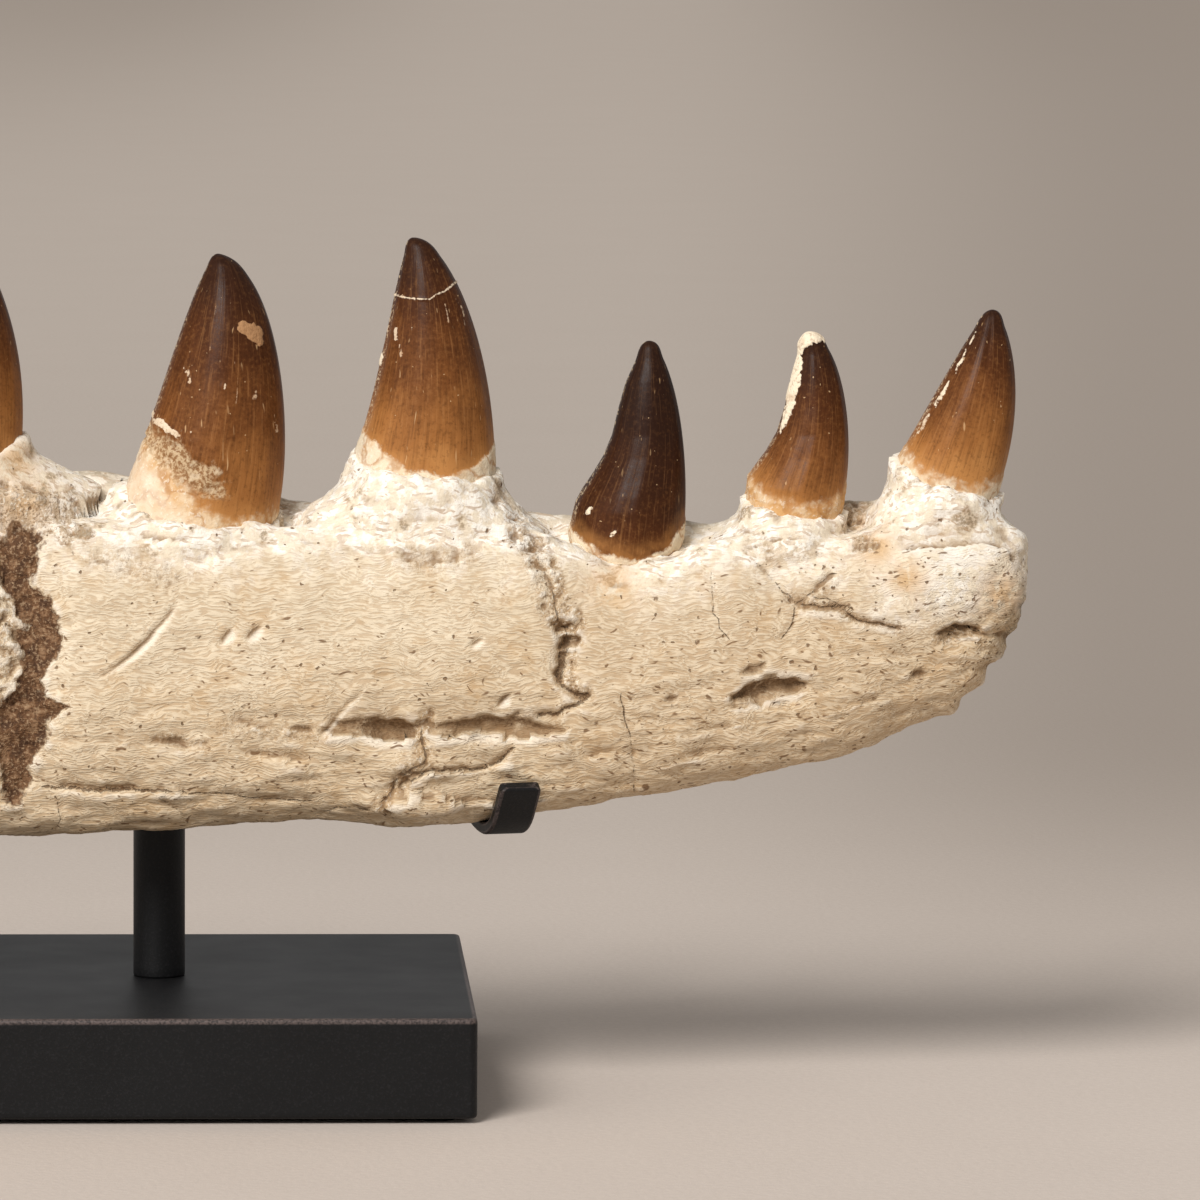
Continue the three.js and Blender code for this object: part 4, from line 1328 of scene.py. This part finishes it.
def in_units(tree, where, size):
    """Places counted in units of the given size."""
    return scaled(tree, where, calc(tree, "DIVIDE", 1.0, size))


def lumps(tree, where, scale, detail, roughness=0.5):
    made = {"Vector": where, "Scale": scale, "Detail": detail, "Roughness": roughness}
    return add_node(tree, "TexNoise", made)


def swayed(tree, where, scale, amount, detail=0.0):
    """Places pushed to and fro by slow noise, so that what is drawn with them wanders."""
    slow = lumps(tree, where, scale, detail).outputs["Color"]
    centred = vectors(tree, "SUBTRACT", slow, (0.5, 0.5, 0.5))
    return vectors(tree, "ADD", where, scaled(tree, centred, amount))


# Effects that several materials use. Sizes are in millimetres.

def new_group(name, output, **sizes):
    """A node group that takes places and some sizes: its tree, its inputs and its one output."""
    group = bpy.data.node_groups.new(name, "ShaderNodeTree")
    group.interface.new_socket("Where", in_out="INPUT", socket_type="NodeSocketVector")
    for title, value in sizes.items():
        socket = group.interface.new_socket(title, in_out="INPUT", socket_type="NodeSocketFloat")
        socket.default_value = value
    group.interface.new_socket(output, in_out="OUTPUT", socket_type="NodeSocketFloat")
    given = group.nodes.new("NodeGroupInput").outputs
    result = group.nodes.new("NodeGroupOutput").inputs[output]
    return group, given, result


def placed(tree, group, where, **sizes):
    """A node group placed in a material, and its output."""
    made = tree.nodes.new("ShaderNodeGroup")
    made.node_tree = group
    feed(tree, made, {"Where": where, **sizes})
    return made.outputs[0]


def mottle_group():
    """Soft patches, as a mask from 0 to 1."""
    tree, given, result = new_group("mottle", "Mask", Size=20.0, Contrast=2.0)
    made = lumps(tree, in_units(tree, given["Where"], given["Size"]), 1.0, 3.0, 0.6)
    spread = times(tree, minus(tree, made.outputs[0], 0.5), given["Contrast"])
    tree.links.new(plus(tree, spread, 0.5, clamp=True), result)
    return tree


def fibre_group():
    """Fine wavy lines that run along X, as a height from 0 to 1. Length counts in spacings."""
    tree, given, result = new_group("fibre_lines", "Height", Spacing=0.6, Length=6.0, Sway=2.0)
    moved = swayed(tree, given["Where"], 0.17, given["Sway"], detail=1.0)
    x, y, z = add_node(tree, "SeparateXYZ", {0: moved}).outputs
    long_step = times(tree, given["Spacing"], given["Length"])
    parts = [
        calc(tree, "DIVIDE", part, step)
        for part, step in ((x, long_step), (y, given["Spacing"]), (z, given["Spacing"]))
    ]
    where = add_node(tree, "CombineXYZ", dict(enumerate(parts))).outputs[0]
    tree.links.new(between(tree, lumps(tree, where, 1.0, 1.0).outputs[0], 0.36, 0.64), result)
    return tree


def pinhole_group():
    """Small pits: a mask that is 1 in each pit. Share is how many of the cells have one."""
    tree, given, result = new_group("pinholes", "Mask", Spacing=1.8, Share=0.4, Width=0.28)
    where = in_units(tree, given["Where"], given["Spacing"])
    ragged = lumps(tree, where, 2.6, 0.0).outputs["Color"]
    moved = vectors(tree, "ADD", where, scaled(tree, ragged, 0.4))
    cells = add_node(tree, "TexVoronoi", {"Vector": moved, "Scale": 1.0})
    pick = add_node(tree, "SeparateColor", {0: cells.outputs["Color"]})
    chosen = calc(tree, "LESS_THAN", pick.outputs[0], given["Share"])
    width = times(tree, given["Width"], plus(tree, pick.outputs[1], 0.35))
    hole = between(tree, cells.outputs["Distance"], times(tree, width, 0.45), width, 1.0, 0.0)
    tree.links.new(times(tree, hole, chosen), result)
    return tree


def grit_group():
    """Fine roughness as a height from 0 to 1."""
    tree, given, result = new_group("grit", "Height", Size=0.8)
    made = lumps(tree, in_units(tree, given["Where"], given["Size"]), 1.0, 3.0, 0.62)
    tree.links.new(made.outputs[0], result)
    return tree


def fissure_group():
    """Thin wandering lines: a mask that is 1 on a line. Width is how much of the surface they take."""
    tree, given, result = new_group("fissures", "Mask", Size=3.0, Width=0.03)
    made = lumps(tree, in_units(tree, given["Where"], given["Size"]), 1.0, 2.0)
    off = calc(tree, "ABSOLUTE", minus(tree, made.outputs[0], 0.5))
    tree.links.new(between(tree, off, 0.0, given["Width"], 1.0, 0.0), result)
    return tree


def dust_group():
    """Dust that lies on what faces up, as a mask from 0 to 1."""
    tree, given, result = new_group("dust_on_top", "Mask", Amount=0.5)
    upward = add_node(tree, "SeparateXYZ", {0: add_node(tree, "NewGeometry").outputs["Normal"]}).outputs[2]
    specks = lumps(tree, given["Where"], 0.45, 6.0, 0.7).outputs[0]
    lying = times(tree, between(tree, upward, 0.3, 0.95), between(tree, specks, 0.42, 0.75))
    tree.links.new(times(tree, lying, given["Amount"]), result)
    return tree


MOTTLE = mottle_group()
FIBRES = fibre_group()
PINHOLES = pinhole_group()
GRIT = grit_group()
FISSURES = fissure_group()
DUST = dust_group()


# Materials

def new_material(name, **sockets):
    """A material with a Principled shader whose plain values are set on its own sockets."""
    material = bpy.data.materials.new(name)
    material.use_nodes = True
    tree = material.node_tree
    shader = tree.nodes["Principled BSDF"]
    for title, value in sockets.items():
        shader.inputs[title.replace("_", " ")].default_value = value
    return material, tree, shader


def dress(tree, shader, colour, roughness, height):
    """Feeds a colour, a roughness and a height in millimetres to a shader."""
    bump = add_node(tree, "Bump", {"Strength": 1.0, "Distance": MM, "Height": height})
    feed(tree, shader, {"Base Color": colour, "Roughness": roughness, "Normal": bump.outputs[0]})


def bone_dents(tree, where, along, plain, low_part, coarse):
    """Short dashes that run with the fibres and round pits: masks of both, and of the pits alone."""
    holed = between(tree, along, 88, 132, 0.0, 0.34)
    dash_way = vectors(tree, "MULTIPLY", swayed(tree, where, 0.2, 5.0), (0.26, 1.0, 1.0))
    dash_share = plus(tree, times(tree, low_part, 0.85), plus(tree, holed, 0.2))
    dashes = placed(tree, PINHOLES, dash_way, Spacing=0.9, Share=dash_share, Width=0.3)
    dashes = times(tree, dashes, times(tree, plain, between(tree, coarse, 0.3, 0.42)))
    pit_share = plus(tree, times(tree, holed, plain, 0.6), 0.13)
    pits = placed(tree, PINHOLES, where, Spacing=1.6, Share=pit_share, Width=0.23)
    return larger(tree, dashes, pits), pits


def bone_cracks(tree, where, grit):
    """A mask of the cracks. The nearest point of a crack is kept at each point of the mesh."""
    gap = gap_to(tree, where, point_value(tree, "crack_near", "Vector"))
    width = times(tree, point_value(tree, "crack_size"), between(tree, grit, 0.36, 0.62, 0.0, 1.9))
    close = between(tree, point_value(tree, "crack_far"), 1.0, 1.7, 1.0, 0.0)
    return times(tree, between(tree, minus(tree, width, gap), -0.09, 0.11), close)


def bone_material():
    material, tree, shader = new_material("fossil_bone", IOR=1.45, Specular_IOR_Level=0.25)
    where = in_mm(tree)
    along = add_node(tree, "SeparateXYZ", {0: where}).outputs[0]
    crust = point_value(tree, "crust")
    cavity = point_value(tree, "cavity")
    rubble = point_value(tree, "rubble")
    plain = minus(tree, 1.0, larger(tree, crust, rubble))
    low_part = between(tree, point_value(tree, "low_share"), 0.08, 0.75, 1.0, 0.0)

    fibres = placed(tree, FIBRES, where, Spacing=0.34, Length=7.0, Sway=3.6)
    shelves = placed(tree, FIBRES, where, Spacing=0.8, Length=5.0, Sway=5.0)
    grit = placed(tree, GRIT, where, Size=0.6)
    coarse = placed(tree, GRIT, where, Size=2.2)
    patches = placed(tree, MOTTLE, where, Size=24.0, Contrast=2.4)
    spots = placed(tree, MOTTLE, where, Size=6.0, Contrast=2.6)
    dents, pits = bone_dents(tree, where, along, plain, low_part, coarse)
    crack = bone_cracks(tree, where, grit)
    ripple = times(tree, minus(tree, coarse, 0.5), 5.0)
    stone = between(tree, plus(tree, point_value(tree, "stone_edge"), ripple), -0.3, 0.8)

    pale = larger(tree, crust, point_value(tree, "pale_bone"))
    pale = times(tree, pale, between(tree, spots, 0.95, 0.6, 0.55, 0.98))
    chalk = blend(tree, between(tree, coarse, 0.42, 0.56), "chalk", "white chalk")
    rim = blend(tree, between(tree, coarse, 0.4, 0.6), "old rim", "pale rim")
    in_lines = times(tree, between(tree, pale, 0.0, 1.0, 1.0, 0.3), between(tree, fibres, 0.45, 0.0))
    dirt = times(tree, between(tree, spots, 0.74, 0.95), between(tree, grit, 0.4, 0.56))
    in_shelves = times(tree, between(tree, shelves, 0.26, 0.06), between(tree, coarse, 0.4, 0.56))
    stone_tone = painted(tree, blend(tree, between(tree, coarse, 0.36, 0.62), "dark stone", "brown stone"), [
        (between(tree, coarse, 0.54, 0.66, 0.0, 0.6), "tan stone"),
        (between(tree, grit, 0.5, 0.66, 0.0, 0.75), "stone grain"),
        (between(tree, grit, 0.46, 0.32, 0.0, 0.6), "stone gap"),
    ])
    stain = point_value(tree, "stain")
    shade = point_value(tree, "shade")
    hollow = point_value(tree, "hollow")
    broken = point_value(tree, "broken")
    colour = painted(tree, blend(tree, patches, "cream bone", "buff bone"), [
        (between(tree, along, 70, 82, 0.0, 0.75), "greyer bone"),
        # Painted shade: the bone is darker towards the keel, where it turns under
        (times(tree, low_part, 0.42), "painted low shade"),
        (times(tree, between(tree, spots, 0.5, 0.95), 0.32), "tan spot"),
        (between(tree, coarse, 0.5, 0.7, 0.0, 0.2), "light grain"),
        (pale, chalk),
        (times(tree, point_value(tree, "behind"), crust, 0.6), rim),
        (times(tree, in_lines, 0.32), "fibre line"),
        (times(tree, plain, between(tree, fibres, 0.55, 1.0, 0.0, 0.25)), "fibre ridge"),
        (times(tree, stain, between(tree, coarse, 0.36, 0.54, 0.15, 0.8)), "rust stain"),
        (times(tree, rubble, between(tree, coarse, 0.56, 0.4, 0.05, 0.6)), "brown rubble"),
        (times(tree, rubble, between(tree, grit, 0.46, 0.36, 0.0, 0.65)), "rubble gap"),
        (times(tree, rubble, between(tree, grit, 0.55, 0.66, 0.0, 0.7)), "rubble flake"),
        # Dirt and painted shade in the recesses of the relief
        (between(tree, cavity, 0.1, 0.9, 0.0, 0.75), "dirt and painted shade in recesses"),
        # Painted highlight on the ridges of the relief
        (between(tree, cavity, -0.2, -0.9, 0.0, 0.4), "painted ridge highlight"),
        (times(tree, dirt, crust, 0.75), "crust dirt"),
        (times(tree, in_shelves, crust, 0.55), "shelf line"),
        # Painted shade in the dips beside the ledges
        (times(tree, shade, between(tree, grit, 0.36, 0.62, 0.75, 0.35)), "painted ledge shade"),
        # Pale fresh bone and a painted highlight on the lower right walls of the cuts
        (times(tree, point_value(tree, "scraped"), 0.65), "fresh wall and painted highlight"),
        (times(tree, dents, 0.85), "pit"),
        # Dirt and painted shade on the floors of the hollows
        (times(tree, hollow, between(tree, grit, 0.38, 0.6, 0.95, 0.35)), "hollow dirt and painted shade"),
        (times(tree, broken, between(tree, coarse, 0.4, 0.62, 0.75, 0.1)), "spongy break"),
        (times(tree, crack, 0.7), "crack"),
        (stone, stone_tone),
    ])

    loose = larger(tree, times(tree, crust, 0.45), larger(tree, rubble, stone))
    grain = times(tree, grit, plus(tree, times(tree, loose, 0.3), 0.07))
    height = plus(tree, times(tree, fibres, plain, 0.08), grain)
    height = minus(tree, height, times(tree, pits, 0.2))
    height = minus(tree, height, times(tree, crack, 0.3))
    dress(tree, shader, colour, between(tree, grit, 0.25, 0.75, 0.68, 0.92), height)
    return material


def enamel_ramp(tree, place):
    """The enamel's colour, from the foot of a crown to its tip."""
    ramp = add_node(tree, "ValToRGB", {"Fac": place})
    stops = ramp.color_ramp.elements
    stops[0].color = tone(*CROWN_RAMP[0][1])
    stops[1].color = tone(*CROWN_RAMP[-1][1])
    for share, values in CROWN_RAMP[1:-1]:
        stops.new(share).color = tone(*values)
    return ramp.outputs[0]


def enamel_material():
    material, tree, shader = new_material("tooth_enamel", IOR=1.5, Specular_IOR_Level=0.07)
    where = in_mm(tree)
    around = point_value(tree, "around", "Vector")
    enamel = point_value(tree, "enamel_edge")
    fade = point_value(tree, "root_fade")

    lines = lumps(tree, vectors(tree, "MULTIPLY", around, (22, 22, 1.1)), 1.0, 2.0, 0.6).outputs[0]
    broad = placed(tree, MOTTLE, where, Size=9.0, Contrast=2.0)
    spots = placed(tree, MOTTLE, where, Size=4.0, Contrast=2.6)
    grit = placed(tree, GRIT, where, Size=0.7)
    clods = placed(tree, GRIT, where, Size=2.0)
    nicks = placed(tree, PINHOLES, where, Spacing=1.5, Share=0.32, Width=0.12)
    tall_way = vectors(tree, "MULTIPLY", swayed(tree, where, 0.12, 1.6), (1.0, 1.0, 0.08))
    scratches = placed(tree, PINHOLES, tall_way, Spacing=1.0, Share=0.5, Width=0.18)
    veins = placed(tree, FISSURES, where, Size=6.0, Width=0.05)

    # Where the root, the chips and the cement show
    ripple = times(tree, minus(tree, grit, 0.5), 1.6)
    off_clods = minus(tree, clods, 0.5)
    marbled = times(tree, off_clods, times(tree, fade, 9.0))
    root_start = plus(tree, times(tree, fade, 2.2), 0.3)
    root_end = minus(tree, -0.2, times(tree, fade, 2.4))
    root = between(tree, plus(tree, plus(tree, enamel, ripple), marbled), root_start, root_end)
    chip = plus(tree, point_value(tree, "chip_edge"), times(tree, ripple, 0.4))
    torn = between(tree, chip, -0.06, 0.1)
    cement = plus(tree, point_value(tree, "cement_edge"), times(tree, off_clods, 7.0))
    lump = between(tree, cement, -0.9, 1.4, 0.0, 0.75)

    root_warmth = minus(tree, point_value(tree, "root_warm"), 0.62)
    warm = plus(tree, times(tree, spots, 0.9), root_warmth, clamp=True)
    root_tone = painted(tree, blend(tree, warm, "cream root", "warm root"), [
        (times(tree, veins, 0.65), "root vein"),
        (between(tree, grit, 0.54, 0.66, 0.0, 0.5), "root grain"),
        (between(tree, enamel, -3.0, -8.0, 0.0, 0.35), "root foot"),
    ])
    chip_tan = plus(tree, point_value(tree, "chip_tan"), between(tree, spots, 0.5, 1.0, 0.0, 0.4))
    chip_tone = painted(tree, blend(tree, chip_tan, "pale chip", "tan chip"), [
        (between(tree, grit, 0.46, 0.36, 0.0, 0.4), "chip grain"),
    ])
    # Old cement: painted shade in its crevices and painted highlights on its lumps
    lump_tone = painted(tree, blend(tree, between(tree, grit, 0.4, 0.62), "painted cement crevice shade", "grey cement"), [
        (between(tree, clods, 0.56, 0.66, 0.0, 0.6), "painted cement highlight"),
    ])

    place = plus(tree, point_value(tree, "up"), between(tree, broad, 0.0, 1.0, -0.07, 0.07))
    lively = between(tree, place, 0.3, 0.95, 1.0, 0.3)
    worn = times(tree, scratches, between(tree, broad, 0.2, 0.7))
    rear_edge = times(tree, add_node(tree, "SeparateXYZ", {0: around}).outputs[0], -1.0)
    flecks = times(tree, between(tree, rear_edge, 0.93, 1.0), between(tree, grit, 0.54, 0.6))
    amber = times(tree, between(tree, enamel, 5.0, 0.0, 0.0, 0.5), between(tree, spots, 0.0, 0.8, 0.2, 1.0))
    colour = painted(tree, enamel_ramp(tree, place), [
        (between(tree, lines, 0.5, 0.34, 0.0, 0.26), "dark streak"),
        (times(tree, lively, between(tree, lines, 0.54, 0.7, 0.0, 0.24)), "light streak"),
        (times(tree, lively, between(tree, grit, 0.5, 0.7, 0.0, 0.2)), "light speck"),
        (between(tree, grit, 0.48, 0.34, 0.0, 0.26), "dark streak"),
        (times(tree, worn, between(tree, lively, 0.3, 1.0, 0.4, 0.75)), "scratch"),
        (times(tree, nicks, 0.75), "nick"),
        (times(tree, flecks, 0.75), "edge fleck"),
        (amber, "amber"),
        (root, root_tone),
        (torn, chip_tone),
        (lump, lump_tone),
    ])

    bare = larger(tree, larger(tree, root, torn), lump)
    roughness = plus(tree, between(tree, grit, 0.35, 0.7, 0.28, 0.4), times(tree, bare, 0.42))
    height = plus(tree, times(tree, lines, 0.03), times(tree, grit, 0.018))
    height = minus(tree, height, times(tree, torn, 0.15))
    height = plus(tree, height, times(tree, bare, grit, 0.26))
    dress(tree, shader, colour, roughness, height)
    return material


def black_coat_material():
    material, tree, shader = new_material("black_powder_coat", IOR=1.45, Specular_IOR_Level=0.28)
    where = in_mm(tree)
    grain = placed(tree, GRIT, where, Size=0.45)
    clouds = placed(tree, MOTTLE, where, Size=18.0, Contrast=1.0)
    edge = between(tree, point_value(tree, "edge"), 0.5, 1.0)
    colour = painted(tree, blend(tree, clouds, "black coat", "worn black"), [
        (between(tree, grain, 0.5, 0.7, 0.0, 0.7), "coat grain"),
        # Edge wear and a painted highlight along the rounded edges
        (times(tree, edge, between(tree, grain, 0.35, 0.6, 0.15, 0.6)), "edge wear and painted highlight"),
        (placed(tree, DUST, where, Amount=0.03), "coat dust"),
    ])
    dress(tree, shader, colour, between(tree, clouds, 0.2, 0.8, 0.44, 0.5), times(tree, grain, 0.05))
    return material


def rubber_material():
    material, tree, shader = new_material("foot_rubber_black", IOR=1.45, Specular_IOR_Level=0.3)
    where = in_mm(tree)
    grain = placed(tree, GRIT, where, Size=0.7)
    colour = painted(tree, blend(tree, between(tree, grain, 0.35, 0.7), "black rubber", "rubber grain"), [
        (placed(tree, DUST, where, Amount=0.3), "rubber dust"),
    ])
    dress(tree, shader, colour, between(tree, grain, 0.3, 0.7, 0.78, 0.92), times(tree, grain, 0.12))
    return material


# Studio

FLOOR_HALF = 9.0
# Painted light and shade: the floor is palest round a point in front of the stand, a painted pool of light.
# To the right of a slanting line it is darker, and far away it dims to both sides of another, which is given
# by where it starts in front and by its slope; both are painted shade.
FLOOR_GLOW = (0, -500, 0)
FLOOR_FAN_START = 1756
FLOOR_LINE_START = 1913
FLOOR_LINE_SLOPE = 0.0445

CAMERA_PLACE = (7.0, -1756.3, 265.3)
CAMERA_YAW = 0.0445
CAMERA_PITCH = 0.0976
CAMERA_ROLL = 0.0052
CAMERA_LENS = 273.75
CAMERA_SENSOR = 36

# A large soft light from the front left and a weak one from the side: way, strength, spread in degrees
# and colour
SUNS = {
    "key_light": ((0.64, 1.24, -1.02), 3.15, 25, (1.0, 0.98, 0.955)),
    "side_light": ((1.0, 0.45, -0.3), 0.35, 40, (1.0, 0.99, 0.97)),
}
# The even light of a pale room
ROOM_COLOUR = (0.98, 0.97, 0.96, 1.0)
ROOM_STRENGTH = 0.385


def floor_material():
    material, tree, shader = new_material("studio_paper", Specular_IOR_Level=0.1)
    where = in_mm(tree)
    x, y, _ = add_node(tree, "SeparateXYZ", {0: where}).outputs
    grain = placed(tree, GRIT, where, Size=1.6)
    clouds = placed(tree, MOTTLE, where, Size=60.0, Contrast=1.6)
    spread = gap_to(tree, where, FLOOR_GLOW)
    far = between(tree, spread, 480, 1150)
    fan = calc(tree, "DIVIDE", x, larger(tree, plus(tree, y, FLOOR_FAN_START), 600))
    aside = between(tree, fan, 0.044, 0.112, 0.0, 0.56)
    line = times(tree, plus(tree, y, FLOOR_LINE_START), FLOOR_LINE_SLOPE)
    off_line = calc(tree, "ABSOLUTE", minus(tree, x, line))
    dim = times(tree, between(tree, spread, 2600, 7500), between(tree, off_line, 60, 430, 0.2, 0.78))
    # Painted shade: darker far away and to the right of the slanting line, and dimmed far to both sides of
    # the other
    colour = painted(tree, blend(tree, far, "lit floor", "painted far shade"), [
        (times(tree, aside, far), "painted side shade"),
        (dim, "painted far dimming"),
        (between(tree, grain, 0.3, 0.7, 0.0, 0.1), "floor grain"),
        (between(tree, clouds, 0.0, 1.0, 0.0, 0.06), "floor cloud"),
    ])
    dress(tree, shader, colour, between(tree, grain, 0.3, 0.7, 0.85, 0.95), times(tree, grain, 0.12))
    return material


def make_floor():
    half = FLOOR_HALF
    mesh = bpy.data.meshes.new("studio_floor")
    corners = [(-half, -half, 0), (half, -half, 0), (half, half, 0), (-half, half, 0)]
    mesh.from_pydata(corners, [], [(0, 1, 2, 3)])
    mesh.materials.append(floor_material())
    floor = bpy.data.objects.new("studio_floor", mesh)
    bpy.context.scene.collection.objects.link(floor)


def make_camera():
    """The photograph's view: a long lens from the front, a little to the left and above."""
    level_share = math.cos(CAMERA_PITCH)
    ahead_x = math.sin(CAMERA_YAW) * level_share
    ahead_y = math.cos(CAMERA_YAW) * level_share
    ahead = Vector((ahead_x, ahead_y, -math.sin(CAMERA_PITCH)))
    level = Vector((math.cos(CAMERA_YAW), -math.sin(CAMERA_YAW), 0))
    above = level.cross(ahead)
    right = math.cos(CAMERA_ROLL) * level + math.sin(CAMERA_ROLL) * above
    up = -math.sin(CAMERA_ROLL) * level + math.cos(CAMERA_ROLL) * above
    data = bpy.data.cameras.new("front_camera")
    data.sensor_width = CAMERA_SENSOR
    data.lens = CAMERA_LENS
    data.clip_start = 0.05
    data.clip_end = 50
    camera = bpy.data.objects.new("front_camera", data)
    camera.matrix_world = Matrix.LocRotScale(
        Vector(CAMERA_PLACE) * MM, Matrix((right, up, -ahead)).transposed(), None,
    )
    bpy.context.scene.collection.objects.link(camera)
    bpy.context.scene.camera = camera


def make_lights():
    for name, (way, strength, spread, colour) in SUNS.items():
        data = bpy.data.lights.new(name, "SUN")
        data.energy = strength
        data.angle = math.radians(spread)
        data.color = colour
        sun = bpy.data.objects.new(name, data)
        sun.rotation_euler = Vector(way).to_track_quat("-Z", "Y").to_euler()
        bpy.context.scene.collection.objects.link(sun)
    world = bpy.data.worlds.new("studio_air")
    world.use_nodes = True
    air = world.node_tree.nodes["Background"]
    air.inputs["Color"].default_value = ROOM_COLOUR
    air.inputs["Strength"].default_value = ROOM_STRENGTH
    bpy.context.scene.world = world
    bpy.context.scene.view_settings.view_transform = "Standard"


make_camera()
make_lights()
make_floor()

enamel = enamel_material()
crowns = [make_crown(name, enamel) for name in TEETH]
make_jaw(bone_material(), crowns)

coat = black_coat_material()
make_base(coat)
make_post(coat)
make_bar(coat)
for strip_name in STRIPS:
    make_strip(strip_name, coat)
rubber = rubber_material()
for side, x in (("right", FOOT_PLACE), ("left", -FOOT_PLACE)):
    make_foot("foot_front_" + side, x, -FOOT_PLACE, rubber)
    make_foot("foot_rear_" + side, x, FOOT_PLACE, rubber)
